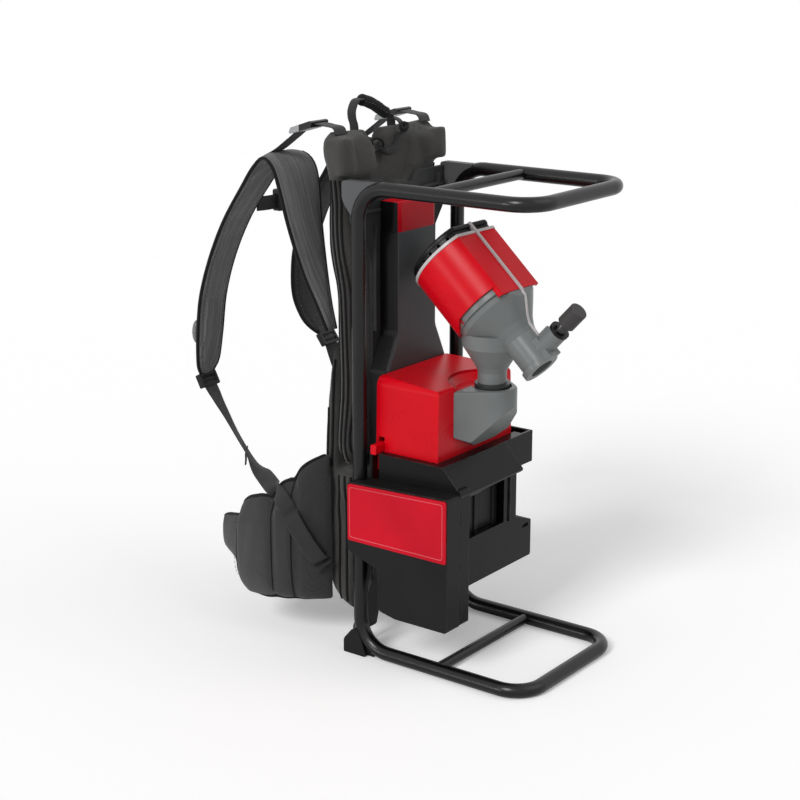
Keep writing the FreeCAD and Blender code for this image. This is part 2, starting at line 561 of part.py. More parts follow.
def swivel_parts():
    root = HOUSING_BACK_Y
    nose_y = -NECK_BACK
    side_angle = math.atan2(BASE_HALF_WIDTH, root - nose_y)
    reach = math.hypot(BASE_HALF_WIDTH, root - nose_y)
    touch = side_angle + math.acos(BASE_NOSE_R / reach)
    tx = BASE_NOSE_R * math.sin(touch)
    ty = nose_y + BASE_NOSE_R * math.cos(touch)
    plan = Part.Wire([Part.LineSegment(V(-BASE_HALF_WIDTH, root, 0), V(BASE_HALF_WIDTH, root, 0)).toShape(),
                      Part.LineSegment(V(BASE_HALF_WIDTH, root, 0), V(tx, ty, 0)).toShape(),
                      Part.Arc(V(tx, ty, 0), V(0, nose_y - BASE_NOSE_R, 0), V(-tx, ty, 0)).toShape(),
                      Part.LineSegment(V(-tx, ty, 0), V(-BASE_HALF_WIDTH, root, 0)).toShape()])
    bracket = Part.Face(plan).extrude(V(0, 0, BASE_TOP_Z))
    side = side_prism([(root, BASE_TOP_Z, 0), (root, BASE_ROOT_Z, 0), (root - 8, BASE_ROOT_Z, 6),
                       (nose_y - BASE_NOSE_R + 5, BASE_NOSE_Z - 6, 12),
                       (nose_y - BASE_NOSE_R - 1, BASE_NOSE_Z + 4, 4),
                       (nose_y - BASE_NOSE_R - 1, BASE_TOP_Z, 0)], -100, 100)
    across = front_prism([(-BASE_HALF_WIDTH - 1, BASE_TOP_Z, 0), (-BASE_HALF_WIDTH - 1, BASE_SIDE_Z, 6),
                          (-BASE_ROOT_HALF_WIDTH, BASE_ROOT_Z, 6), (BASE_ROOT_HALF_WIDTH, BASE_ROOT_Z, 6),
                          (BASE_HALF_WIDTH + 1, BASE_SIDE_Z, 6), (BASE_HALF_WIDTH + 1, BASE_TOP_Z, 0)],
                         root - 200, root)
    bracket = bracket.common(side).common(across)
    top_edges = [e for e in bracket.Edges if e.BoundBox.ZMin > BASE_TOP_Z - 0.01
                 and e.BoundBox.YMin < root - 1]
    bracket = bracket.makeFillet(4, top_edges)
    bore_low = BASE_TOP_Z - JOURNAL_LENGTH + BUSH_FLANGE - 1
    well = rod(BUSH_FLANGE_R + 3, (0, nose_y, BASE_TOP_Z - 3), (0, nose_y, BASE_TOP_Z + 1))
    bore = rod(JOURNAL_R + BUSH_WALL + RUNNING_GAP, (0, nose_y, bore_low), (0, nose_y, BASE_TOP_Z + 1))
    keep("swivel_base", bracket.cut(well).cut(bore))
    bush_r = JOURNAL_R + BUSH_WALL + RUNNING_GAP
    bush = ring(bush_r, JOURNAL_R + RUNNING_GAP, (0, nose_y, bore_low), (0, nose_y, BASE_TOP_Z))
    flange = ring(BUSH_FLANGE_R, JOURNAL_R + RUNNING_GAP, (0, nose_y, BASE_TOP_Z - 3),
                  (0, nose_y, BASE_TOP_Z + BUSH_FLANGE))
    keep("swivel_bush", bush.fuse(flange).removeSplitter())


# Motor head, built along its own axis: +Z towards the nose, +Y to the outer flat

def to_head(shape):
    shape = shape.copy()
    shape.rotate(V(0, 0, 0), V(1, 0, 0), 90 + HEAD_TILT)
    shape.translate(V(0, HEAD_REAR_Y, HEAD_REAR_Z))
    return shape


def head_round(radius, flat, start, end):
    body = rod(radius, (0, 0, start), (0, 0, end))
    return body.cut(box((-200, flat, start - 1), (200, 200, end + 1)))


def grey_body():
    # Nose, barrel, plunger boss and neck as one outer form, split down the middle afterwards
    hood_inner = HOOD_R - HOOD_WALL - SHELL_GAP
    flat_inner = HOOD_FLAT - HOOD_WALL - SHELL_GAP
    sleeve = head_round(hood_inner, flat_inner, HOOD_START, HOOD_CHIN_END)
    nose = turned([(0, 84), (52, 84), (55.5, HOOD_CHIN_END - 3), (54, HOOD_FLAT_END + 2), (47, 110),
                   (31, 130), (BARREL_R + 2, 140), (BARREL_R, BARREL_START), (BARREL_R, BARREL_END),
                   (0, BARREL_END)], -MOTOR_DROP + 2)
    nose = nose.cut(box((-200, HOOD_FLAT - 0.5, 0), (200, 200, 200)))
    nose = nose.cut(box((-200, flat_inner, 0), (200, 200, HOOD_FLAT_END + 0.3)))
    mouth = rod(BARREL_R + 1.5, (0, -MOTOR_DROP, BARREL_END - 8), (0, -MOTOR_DROP, BARREL_END))
    boss_low = 6.0
    boss = rod(BOSS_R, (0, boss_low, BOSS_AT), (0, BOSS_TOP, BOSS_AT))
    foot = box((-BOSS_R + 1, boss_low, BOSS_AT - BOSS_R), (BOSS_R - 1, 26, BARREL_END))
    rib = box((-2, boss_low, BOSS_AT - BOSS_R - 3), (2, BOSS_TOP - 8, BOSS_AT))
    cheek = box((-3, boss_low, 118), (3, 24, BOSS_AT))
    body = to_head(joined([sleeve, nose, mouth, boss, foot, rib, cheek]))
    neck_top = HEAD_REAR_Z - 95.4
    top_z = BASE_TOP_Z + BUSH_FLANGE + RUNNING_GAP * 4
    neck = turned([(0, top_z), (NECK_R, top_z), (NECK_R, neck_top - 53), (NECK_R + 3, neck_top - 46),
                   (30, neck_top - 33), (39, neck_top - 19),
                   (42, neck_top), (0, neck_top)], -NECK_BACK)
    neck = neck.cut(to_head(rod(HOOD_R + SHELL_GAP, (0, 0, HOOD_START - 1), (0, 0, HOOD_CHIN_END + SHELL_GAP))))
    journal = rod(JOURNAL_R, (0, -NECK_BACK, BASE_TOP_Z + BUSH_FLANGE - JOURNAL_LENGTH + 0.6),
                  (0, -NECK_BACK, top_z + 1))
    return joined([body, neck, journal])


def head_cavity():
    inner_r = HOOD_R - HOOD_WALL - SHELL_GAP - SHELL_WALL
    inner_flat = HOOD_FLAT - HOOD_WALL - SHELL_GAP - SHELL_WALL
    chamber = head_round(inner_r, inner_flat, HOOD_START - 1, STATOR_START)
    motor_bore = rod(STATOR_R, (0, -MOTOR_DROP, STATOR_START - 1), (0, -MOTOR_DROP, STATOR_END))
    fan_room = turned([(0, STATOR_END - 1), (STATOR_R - 3, STATOR_END - 1), (STATOR_R - 3, 96), (BEARING_R, 110),
                       (0, 110)], -MOTOR_DROP)
    seat = rod(BEARING_R, (0, -MOTOR_DROP, 109), (0, -MOTOR_DROP, 110 + BEARING_WIDTH))
    way = rod(SHAFT_R + 1.5, (0, -MOTOR_DROP, 118), (0, -MOTOR_DROP, BARREL_END))
    coupling = rod(COUPLING_R, (0, -MOTOR_DROP, BARREL_END - COUPLING_DEPTH), (0, -MOTOR_DROP, BARREL_END + 1))
    coupling = coupling.fuse(rod(SOCKET_ROOM_R, (0, -MOTOR_DROP, SOCKET_ROOM_END), (0, -MOTOR_DROP, BARREL_END - 1)))
    pin_way = rod(PIN_R + RUNNING_GAP, (0, 0, BOSS_AT), (0, BOSS_TOP + 1, BOSS_AT))
    spring_room = rod(PIN_R + 4, (0, 28, BOSS_AT), (0, BOSS_TOP - 6, BOSS_AT))
    cap_room = rod(PIN_R + 5, (0, BOSS_TOP - 6, BOSS_AT), (0, BOSS_TOP + 1, BOSS_AT))
    hollow = to_head(joined([chamber, motor_bore, fan_room, seat, way, coupling]))
    holes = to_head(joined([pin_way, spring_room, cap_room]))
    wire_way = rod(8, (0, -NECK_BACK, BASE_TOP_Z - 62), (0, -NECK_BACK, HEAD_REAR_Z - 101.4))
    return [hollow, holes, wire_way]


def seam_strip():
    # The light parting rib, let into the flat and the nose and standing a little proud of them
    out = HOOD_FLAT + SEAM_HEIGHT
    inner = HOOD_FLAT - HOOD_WALL - 1.0
    boss_side = BOSS_AT - BOSS_R
    return side_prism([(inner, CAP_START + 1, 0), (out, CAP_START + 1, 0), (out, HOOD_FLAT_END + 3, 5),
                       (24.5, 128, 8), (23.5, boss_side, 0), (18, boss_side, 0), (19, 126, 6),
                       (inner, HOOD_FLAT_END + 1, 4)], -SEAM_WIDTH / 2, SEAM_WIDTH / 2)


def head_parts():
    body = grey_body()
    for hollow in head_cavity():
        body = body.cut(hollow)
    strip = to_head(seam_strip())
    hood_outer = head_round(HOOD_R, HOOD_FLAT, HOOD_START, HOOD_FLAT_END)
    hood_inner = head_round(HOOD_R - HOOD_WALL, HOOD_FLAT - HOOD_WALL, HOOD_START - 1, HOOD_FLAT_END + 1)
    hood = hood_outer.cut(hood_inner)
    hood = hood.cut(box((-200, -200, HOOD_CHIN_END), (200, -18, 200)))
    for side in (-1, 1):
        low_x, high_x = sorted((side * 43, side * 200))
        hood = hood.cut(box((low_x, -18, HOOD_SIDE_END), (high_x, 200, 200)))
        hood = hood.cut(side_prism([(-18.1, HOOD_SIDE_END, 0), (-18.1, 200, 0), (-34, 200, 0),
                                    (-34, HOOD_CHIN_END, 0)], low_x, high_x))
    groove = box((-SEAM_WIDTH / 2 - 0.3, 0, HOOD_START - 1), (SEAM_WIDTH / 2 + 0.3, 200, 200))
    hood = hood.cut(groove)
    hood = to_head(hood)
    keep("motor_hood", hood)
    band = head_round(HOOD_R + 0.8, HOOD_FLAT + 0.8, BAND_START, HOOD_START)
    band = band.cut(head_round(HOOD_R - 6, HOOD_FLAT - 6, BAND_START - 1, HOOD_START + 1))
    keep("rear_band", to_head(band.cut(groove)))
    vent = head_round(HOOD_R - 4, HOOD_FLAT - 3, VENT_START, BAND_START)
    vent = vent.cut(head_round(HOOD_R - 10, HOOD_FLAT - 9, VENT_START - 1, BAND_START + 1))
    slots = []
    for i in range(24):
        angle = math.radians(i * 15 + 7.5)
        slot = box((HOOD_R - 30, -2, VENT_START + 1.5), (HOOD_R + 5, 2, BAND_START - 1.5))
        slot.rotate(V(0, 0, 0), V(0, 0, 1), math.degrees(angle))
        if abs(math.degrees(angle) - 90) > 40:
            slots.append(slot)
    keep("vent_ring", to_head(vent.cut(Part.makeCompound(slots))))
    cap = head_round(CAP_R, HOOD_FLAT, CAP_START, VENT_START)
    rim_edges = [e for e in cap.Edges if e.BoundBox.ZMax < CAP_START + 0.01]
    cap = cap.makeFillet(4, rim_edges)
    # The cap thins towards the side that faces the tower
    slant = side_prism([(HOOD_FLAT, CAP_START, 0), (-CAP_R - 10, VENT_START - CAP_THIN, 0),
                        (-CAP_R - 10, CAP_START - 20, 0), (HOOD_FLAT, CAP_START - 20, 0)], -80, 80)
    cap = cap.cut(slant)
    hub = rod(BEARING_R + 4, (0, -MOTOR_DROP, CAP_START + 3), (0, -MOTOR_DROP, 6 + BEARING_WIDTH))
    hub = hub.cut(rod(BEARING_R, (0, -MOTOR_DROP, 6), (0, -MOTOR_DROP, 7 + BEARING_WIDTH)))
    hub = hub.cut(rod(SHAFT_R + 1, (0, -MOTOR_DROP, 2), (0, -MOTOR_DROP, 7)))
    keep("rear_cap", to_head(cap.fuse(hub)))
    shell = body.cut(strip)
    for name, low_x, high_x in (("head_shell_left", -300, 0), ("head_shell_right", 0, 300)):
        half = shell.common(box((low_x, -600, 0), (high_x, 300, 800)))
        keep(name, max(half.Solids, key=lambda s: s.Volume))
    strip = strip.cut(hood).cut(PIECES["rear_cap"]).cut(PIECES["vent_ring"]).cut(PIECES["rear_band"])
    keep("seam_strip", max(strip.Solids, key=lambda s: s.Volume))
    stator = ring(STATOR_R, STATOR_BORE_R, (0, -MOTOR_DROP, STATOR_START), (0, -MOTOR_DROP, STATOR_END))
    windows = []
    for i in range(12):
        slot = box((STATOR_BORE_R - 2, -MOTOR_DROP - 3.4, STATOR_START - 1),
                   (STATOR_R - 6, -MOTOR_DROP + 3.4, STATOR_END + 1))
        slot.rotate(V(0, -MOTOR_DROP, 0), V(0, 0, 1), i * 30)
        windows.append(slot)
    keep("stator", to_head(stator.cut(Part.makeCompound(windows))))
    for name, start in (("rear_bearing", 6.0), ("front_bearing", 110.0)):
        race = ring(BEARING_R, SHAFT_R + RUNNING_GAP, (0, -MOTOR_DROP, start),
                    (0, -MOTOR_DROP, start + BEARING_WIDTH))
        groove = ring(BEARING_R - 2.5, SHAFT_R + 2.5, (0, -MOTOR_DROP, start - 1), (0, -MOTOR_DROP, start + 1))
        keep(name, to_head(race.cut(groove)))
    collar = ring(PIN_R + 5, PIN_R + RUNNING_GAP, (0, BOSS_TOP - 6, BOSS_AT), (0, BOSS_TOP, BOSS_AT))
    collar = collar.fuse(ring(BOSS_R + 0.6, PIN_R + RUNNING_GAP, (0, BOSS_TOP, BOSS_AT),
                              (0, BOSS_TOP + COLLAR_HEIGHT, BOSS_AT)))
    keep("plunger_collar", to_head(collar.removeSplitter()))


def rotor_parts():
    y = -MOTOR_DROP
    keep("rotor_shaft", to_head(rod(SHAFT_R, (0, y, 3), (0, y, SOCKET_ROOM_END + 6))))
    shaft_hole = rod(SHAFT_R, (0, y, 0), (0, y, 200))
    core = rod(STATOR_BORE_R - ROTOR_GAP, (0, y, STATOR_START + 2), (0, y, STATOR_END - 2)).cut(shaft_hole)
    keep("rotor_core", to_head(core))
    hub = rod(SHAFT_R + 6, (0, y, FAN_AT), (0, y, FAN_AT + 12))
    disc = rod(FAN_R, (0, y, FAN_AT), (0, y, FAN_AT + 2))
    blades = []
    for i in range(12):
        blade = box((SHAFT_R + 4, y - 0.8, FAN_AT + 1), (FAN_R - 2, y + 0.8, FAN_AT + 11))
        blade.rotate(V(SHAFT_R + 5, y, 0), V(0, 0, 1), 24)
        blade.rotate(V(0, y, 0), V(0, 0, 1), i * 30)
        blades.append(blade)
    keep("cooling_fan", to_head(joined([hub, disc] + blades).cut(shaft_hole)))
    start = SOCKET_ROOM_END + 2
    socket = rod(SOCKET_R, (0, y, start), (0, y, BARREL_END - COUPLING_DEPTH - 1))
    socket = socket.cut(rod(SHAFT_R, (0, y, start - 1), (0, y, start + 4)))
    square = 5.0
    socket = socket.cut(box((-square, y - square, start + 8), (square, y + square, BARREL_END)))
    keep("drive_socket", to_head(socket))


def plunger_parts():
    at = BOSS_AT
    pin = rod(PIN_R, (0, COUPLING_R - MOTOR_DROP + 0.4, at), (0, KNOB_LOW + 8, at))
    shoulder = rod(PIN_R + 3.4, (0, SHOULDER_LOW, at), (0, SHOULDER_LOW + 2.0, at))
    keep("plunger_pin", to_head(pin.fuse(shoulder).removeSplitter()))
    stem = ring(KNOB_R - 3.5, PIN_R, (0, BOSS_TOP + COLLAR_HEIGHT + 0.6, at), (0, KNOB_LOW, at))
    stem = stem.cut(box((-40, 0, at - 40), (-2, KNOB_LOW - 0.1, at)))
    grip = rod(KNOB_R, (0, KNOB_LOW, at), (0, KNOB_TOP, at)).cut(rod(PIN_R, (0, 0, at), (0, KNOB_LOW + 8, at)))
    grip = grip.makeFillet(1.5, [e for e in grip.Edges if e.BoundBox.YMin > KNOB_TOP - 0.01])
    keep("plunger_knob", to_head(stem.fuse(grip).removeSplitter()))
    wire_r = 0.8
    turns = 3
    sides = 8
    steps = turns * 18
    length = BOSS_TOP - 6 - 2 * wire_r - 0.3 - SPRING_LOW
    mean_r = PIN_R + 2.4
    wires = []
    for i in range(steps + 1):
        turn = 2 * math.pi * turns * i / steps
        out = V(math.cos(turn), math.sin(turn), 0)
        centre = out * mean_r + V(0, 0, length * i / steps)
        corners = [centre + out * (wire_r * math.cos(2 * math.pi * k / sides))
                   + V(0, 0, wire_r * math.sin(2 * math.pi * k / sides)) for k in range(sides)]
        wires.append(Part.makePolygon(corners + corners[:1]))
    spring = Part.makeLoft(wires, True, True)
    spring.rotate(V(0, 0, 0), V(1, 0, 0), -90)
    spring.translate(V(0, SPRING_LOW + wire_r, at))
    keep("plunger_spring", to_head(spring))


# Soft parts

def soft_section(x, y, z, half_x, half_y, bulge_x, bulge_y, turn=0.0):
    # Crowned closed section in a horizontal plane: four shallow arcs between four corners
    corners = [V(-half_x, -half_y, 0), V(half_x, -half_y, 0), V(half_x, half_y, 0), V(-half_x, half_y, 0)]
    crests = [V(0, -half_y - bulge_y, 0), V(half_x + bulge_x, 0, 0), V(0, half_y + bulge_y, 0),
              V(-half_x - bulge_x, 0, 0)]
    edges = []
    for i in range(4):
        edges.append(Part.Arc(corners[i], crests[i], corners[(i + 1) % 4]).toShape())
    wire = Part.Wire(edges)
    wire.rotate(V(0, 0, 0), V(0, 0, 1), turn)
    wire.translate(V(x, y, z))
    return wire


def back_pad_parts():
    # Sections rise from the lumbar end, stand off the plate at the top and thin out at both ends
    levels = [(PAD_LOW_Z, 0.76, 0.5, 0), (PAD_LOW_Z + 14, 0.86, 0.9, 0), (PAD_LOW_Z + 70, 0.9, 1.0, 1),
              (400.0, 0.86, 1.0, 2), (500.0, 0.88, 1.0, 4), (600.0, 0.96, 1.0, 7), (660.0, 1.0, 0.95, 10),
              (PAD_TOP_Z - 10, 0.99, 0.8, 12), (PAD_TOP_Z, 0.94, 0.5, 12)]
    wires = []
    for z, wide, deep, forward in levels:
        half_y = (PAD_THICK / 2 - 4) * deep
        middle = PAD_Y + PAD_THICK / 2 + forward
        wires.append(soft_section(0, middle, z, (PAD_HALF_WIDTH - 6) * wide, half_y, 5, 3.6 * deep))
    pad = Part.makeLoft(wires, True, False)
    channels = []
    for z in (330.0, 410.0, 490.0, 570.0):
        channels.append(rod(5, (-130, PAD_Y + PAD_THICK + 6, z), (130, PAD_Y + PAD_THICK + 6, z)))
    channels.append(rod(9, (0, PAD_Y + PAD_THICK + 4, 230), (0, PAD_Y + PAD_THICK + 16, 640)))
    notch = front_prism([(-50, PAD_TOP_Z + 10, 0), (-26, PAD_TOP_Z - 17, 6), (-14, PAD_TOP_Z - 17, 6),
                         (0, PAD_TOP_Z + 10, 0)], 0, 120)
    hole = rod(HOLE_R, (HOLE_X, 0, PAD_TOP_Z - HOLE_DROP), (HOLE_X, 120, PAD_TOP_Z - HOLE_DROP))
    hollow = front_prism([(-44, 622, 16), (-44, PAD_TOP_Z - 14, 10), (44, PAD_TOP_Z - 14, 10), (44, 622, 16)],
                         0, PAD_Y + 17)
    # The upper corners curl back beside the carrying frame; the near one is the wider lobe
    lobes = []
    for side, inner in ((-1, 37), (1, PAD_HALF_WIDTH - 44)):
        outline = [(PAD_HALF_WIDTH, ROLL_BACK_Y, 9), (PAD_HALF_WIDTH - 20, ROLL_BACK_Y, 8),
                   (PAD_HALF_WIDTH - 32, ROLL_BACK_Y + 9, 8), (inner, ROLL_BACK_Y + 9, 6),
                   (inner, PAD_Y + 28, 0), (PAD_HALF_WIDTH, PAD_Y + 28, 6)]
        lobe = plan_prism(outline, 645, PAD_TOP_Z - 8 - 3 * side)
        ends = [e for e in lobe.Edges if e.BoundBox.ZLength < 0.01 and e.BoundBox.YMax < PAD_Y + 8]
        lobe = lobe.makeFillet(5, ends)
        lobe = lobe.cut(front_prism([(inner - 1, PAD_TOP_Z + 9, 0), (inner - 1, PAD_TOP_Z - 20, 0),
                                     (inner + 14, PAD_TOP_Z - 9, 9), (inner + 40, PAD_TOP_Z + 9, 0)], 0, PAD_Y + 28))
        lobes.append(lobe if side == 1 else mirrored(lobe))
    pad = pad.cut(Part.makeCompound(channels)).cut(notch).cut(hole).cut(hollow)
    pad = pad.fuse(lobes).removeSplitter()
    corner = front_prism([(101, PAD_TOP_Z + 4, 0), (125, PAD_TOP_Z + 4, 0), (125, PAD_TOP_Z - 18, 0),
                          (112, PAD_TOP_Z - 7, 9)], 0, 120)
    pad = pad.cut([corner, mirrored(corner)])
    keep("back_pad", max(pad.Solids, key=lambda s: s.Volume))


def even_stations(stations, count):
    # The same route through all the stations, cut at evenly spaced places: the first two numbers
    # follow a smooth curve, the rest change evenly from station to station
    spread = [0.0]
    for before, after in zip(stations, stations[1:]):
        spread.append(spread[-1] + math.dist(before[:2], after[:2]))
    curve = Part.BSplineCurve()
    curve.interpolate(Points=[V(st[0], st[1], 0) for st in stations], Parameters=spread)
    rows = []
    for i in range(count):
        at = spread[-1] * i / (count - 1)
        k = max(j for j in range(len(spread) - 1) if spread[j] <= at or j == 0)
        share = (at - spread[k]) / (spread[k + 1] - spread[k])
        point = curve.value(at)
        rest = [a + (b - a) * share for a, b in zip(stations[k][2:], stations[k + 1][2:])]
        rows.append([point.x, point.y] + rest)
    return rows


def crowned(corners, crests):
    edges = [Part.Arc(corners[k], crests[k], corners[(k + 1) % 4]).toShape() for k in range(4)]
    return Part.Wire(edges)


def strap(stations, thick):
    # Stations are (y, z, inner x, outer x) down the middle of the padding
    rows = even_stations(stations, 16)
    wires = []
    for i, (y, z, inner, outer) in enumerate(rows):
        before = rows[max(i - 1, 0)]
        after = rows[min(i + 1, len(rows) - 1)]
        along = V(0, after[0] - before[0], after[1] - before[1]).normalize()
        across = V(0, -along.z, along.y)
        centre = V((inner + outer) / 2, y, z)
        h = V((outer - inner) / 2 - 1.5, 0, 0)
        t = across * (thick / 2 - 1.8)
        crown = across * 1.8
        side = V(1.5, 0, 0)
        wires.append(crowned([centre - h - t, centre + h - t, centre + h + t, centre - h + t],
                             [centre - t - crown, centre + h + side, centre + t + crown, centre - h - side]))
    return Part.makeLoft(wires, True, False)


def band(stations, width, thick):
    # Webbing through (x, y, z) stations, each with the direction its width lies in
    wires = []
    for i, (here, lie) in enumerate(stations):
        here = V(*here)
        before = V(*stations[max(i - 1, 0)][0])
        after = V(*stations[min(i + 1, len(stations) - 1)][0])
        along = (after - before).normalize()
        wide = V(*lie)
        wide = (wide - along * wide.dot(along)).normalize()
        across = along.cross(wide)
        w = wide * (width / 2)
        t = across * (thick / 2)
        wires.append(Part.makePolygon([here - w - t, here + w - t, here + w + t, here - w + t, here - w - t]))
    return Part.makeLoft(wires, True, False)


STRAP_BACK = [(58, 438, 84, 104), (71, 470, 78, 108), (92, 515, 62, 112), (109, 572, 50, 118),
              (121, 620, 40, 121), (132, 648, 38, 121), (150, 659, 43, 119), (170, 644, 52, 117),
              (190, 618, 57, 116), (226, 567, 60, 115)]
STRAP_FRONT = [(254, 511, 62, 115), (273, 455, 62, 115), (281, 400, 63, 114), (285, 351, 68, 108)]
STRAP_SLACK = [(249, 515, 62, 115), (257, 475, 62, 115), (256, 432, 62, 115), (243, 401, 64, 112),
               (222, 377, 66, 110)]


WEB_ON_WING = [((-138, 130, 226), (0.7, -0.5, 0.35)), ((-149, 98, 202), (0.39, -0.79, 0.47)),
               ((-143, 76, 164), (0.39, -0.79, 0.47)), ((-131, 60, 129), (0.39, -0.79, 0.47))]


def harness_straps():
    left = strap(STRAP_BACK + STRAP_FRONT, STRAP_THICK)
    keep("shoulder_strap_left", mirrored(left))
    keep("shoulder_strap_right", strap(STRAP_BACK + STRAP_SLACK, STRAP_THICK))
    x = WEB_X
    across = (1, 0, 0)
    # Each lower webbing leaves its ladder lock, turns edge-on and lies down on the wing's outer face
    left_web = band([((-x, 288, 338), across), ((-x - 3, 260, 306), (0.95, 0.3, 0)),
                     ((-x - 7, 228, 271), (0.9, 0.43, 0)), ((-x - 16, 200, 245), (0.9, 0.3, 0)),
                     ((-x - 28, 168, 236), (0.85, 0, 0.2))] + WEB_ON_WING, WEB_WIDTH, WEB_THICK)
    right_web = band([((-x, 214, 372), across), ((-x - 6, 200, 330), (0.95, 0.3, 0)),
                      ((-x - 16, 186, 284), (0.9, 0.43, 0)), ((-x - 28, 164, 244), (0.85, 0.2, 0.1))]
                     + WEB_ON_WING, WEB_WIDTH, WEB_THICK)
    right_web = mirrored(right_web)
    keep("lower_webbing", Part.makeCompound([left_web, right_web]))
    locks = []
    for side, y, z, turn in ((-1, 288, 337, 0), (1, 217, 372, -8)):
        frame = box((-WEB_WIDTH / 2 - 5, -4, -14), (WEB_WIDTH / 2 + 5, 4, 6))
        frame = frame.makeFillet(2, [e for e in frame.Edges if e.BoundBox.YLength > 6])
        bars = box((-WEB_WIDTH / 2 - 1, -6, -10), (WEB_WIDTH / 2 + 1, 6, 2))
        frame = frame.cut(bars).fuse(box((-WEB_WIDTH / 2 - 2, -3, -6), (WEB_WIDTH / 2 + 2, -1.5, -3)))
        frame.rotate(V(0, 0, 0), V(1, 0, 0), turn - 28)
        frame.translate(V(side * x, y, z))
        locks.append(frame)
    locks = Part.makeCompound(locks).cut(PIECES["lower_webbing"])
    locks = locks.cut(PIECES["shoulder_strap_left"]).cut(PIECES["shoulder_strap_right"])
    keep("ladder_locks", Part.makeCompound([s for s in locks.Solids if s.Volume > 200]))
    lifters = []
    buckles = []
    for side in (-1, 1):
        run = [((side * x, 160, 660.5), across), ((side * x, 143, 669), across), ((side * x, 122, 684), across),
               ((side * x, 100, 699), across), ((side * x, 78, 706), across), ((side * x, 60, 705), across),
               ((side * x, 44, 703.4), across)]
        lifters.append(band(run, WEB_WIDTH, WEB_THICK))
        plate = side_prism([(116, 691, 2), (112, 700, 2), (80, 710.5, 2), (76, 709, 1), (78, 702, 2)],
                           side * x - WEB_WIDTH / 2 - 5, side * x + WEB_WIDTH / 2 + 5)
        buckles.append(plate)
    keep("load_lifters", Part.makeCompound(lifters))
    keep("lifter_buckles", Part.makeCompound(buckles).cut(PIECES["load_lifters"]))
    z = STERNUM_Z
    band_y = STERNUM_Y
    inner = 57.9
    chest = box((-inner, band_y - 1, z - 10), (inner, band_y + 1, z + 10))
    keep("sternum_strap", chest)
    clip = box((-22, band_y - 5, z - 15), (22, band_y + 5, z + 15))
    clip = clip.makeFillet(3, [e for e in clip.Edges if e.BoundBox.YLength > 5]).cut(chest)
    keep("sternum_buckle", clip)


WING = [(62, 46, 60, 262), (100, 62, 46, 262), (129, 93, 48, 236), (141, 134, 52, 206),
        (136, 176, 56, 184), (124, 206, 72, 176), (113, 232, 96, 160), (106, 250, 110, 146)]


def hip_belt():
    # One wing: padded sections stood on edge along the waist, from the lumbar pad forward
    rows = even_stations(WING, 10)
    wires = []
    for i, (x, y, low, high) in enumerate(rows):
        before = rows[max(i - 1, 0)]
        after = rows[min(i + 1, len(rows) - 1)]
        along = V(after[0] - before[0], after[1] - before[1], 0).normalize()
        across = V(-along.y, along.x, 0)
        centre = V(x, y, (low + high) / 2)
        up = V(0, 0, (high - low) / 2)
        half = 10.0 if i < 5 else 8.0
        t = across * (half * 0.4)
        crown = across * (half * 0.6)
        wires.append(crowned([centre - up - t, centre - up + t, centre + up + t, centre + up - t],
                             [centre - up * 1.03, centre + t + crown, centre + up * 1.03, centre - t - crown]))
    wing = Part.makeLoft(wires, True, False)
    keep("hip_belt_right", wing)
    keep("hip_belt_left", mirrored(wing))
    # The lumbar pad fills out below the back pad and runs up in front of it in a thinner layer
    half_x = LUMBAR_HALF_WIDTH - 4
    wires = []
    for z, front, narrow in ((44, 34, 14), (54, 46, 5), (73, 62, 1), (110, 71, 0), (142, 76, 0), (200, 79, 0),
                             (PAD_LOW_Z - 2, 80, 0)):
        low_y = PAD_Y + 1
        middle = (low_y + front) / 2
        wires.append(soft_section(0, middle, z, half_x - narrow, (front - low_y) / 2 - 3, 4, 3))
    lumbar = Part.makeLoft(wires, True, False)
    wires = []
    for z, front, narrow in ((PAD_LOW_Z - 3, 80, 0), (PAD_LOW_Z + 60, 77, 1), (PAD_LOW_Z + 120, 70, 3),
                             (PAD_LOW_Z + 165, 64, 8), (PAD_LOW_Z + 190, 60, 16)):
        low_y = PAD_Y + PAD_THICK + 4
        middle = (low_y + front) / 2
        thin = min(2.4, (front - low_y) / 4)
        wires.append(soft_section(0, middle, z, half_x - narrow, (front - low_y) / 2 - thin, 4, thin))
    lumbar = lumbar.fuse(Part.makeLoft(wires, True, False))
    grooves = [rod(4, (-120, 81.5, z), (120, 81.5, z)) for z in (110.0, 160.0, 210.0)]
    grooves.append(rod(6, (0, 82, 60), (0, 82, 400)))
    for side in (-1, 1):
        grooves.append(rod(2.5, (side * (LUMBAR_HALF_WIDTH + 0.5), 52, 30), (side * (LUMBAR_HALF_WIDTH + 0.5), 52, 246)))
    pad = lumbar.cut(Part.makeCompound(grooves))
    keep("lumbar_pad", max(pad.Solids, key=lambda s: s.Volume))
    # Each wing stops at the lumbar pad's side, which it is sewn to
    stop = LUMBAR_HALF_WIDTH + 0.3
    clear = box((-stop, -50, 0), (stop, 120, 300))
    for name in ("hip_belt_right", "hip_belt_left"):
        cut = PIECES[name].cut(clear)
        PIECES[name] = max(cut.Solids, key=lambda s: s.Volume)
    webs = PIECES["lower_webbing"].cut(PIECES["hip_belt_right"]).cut(PIECES["hip_belt_left"])
    keep("lower_webbing", Part.makeCompound([w for w in webs.Solids if w.Volume > 1000]))


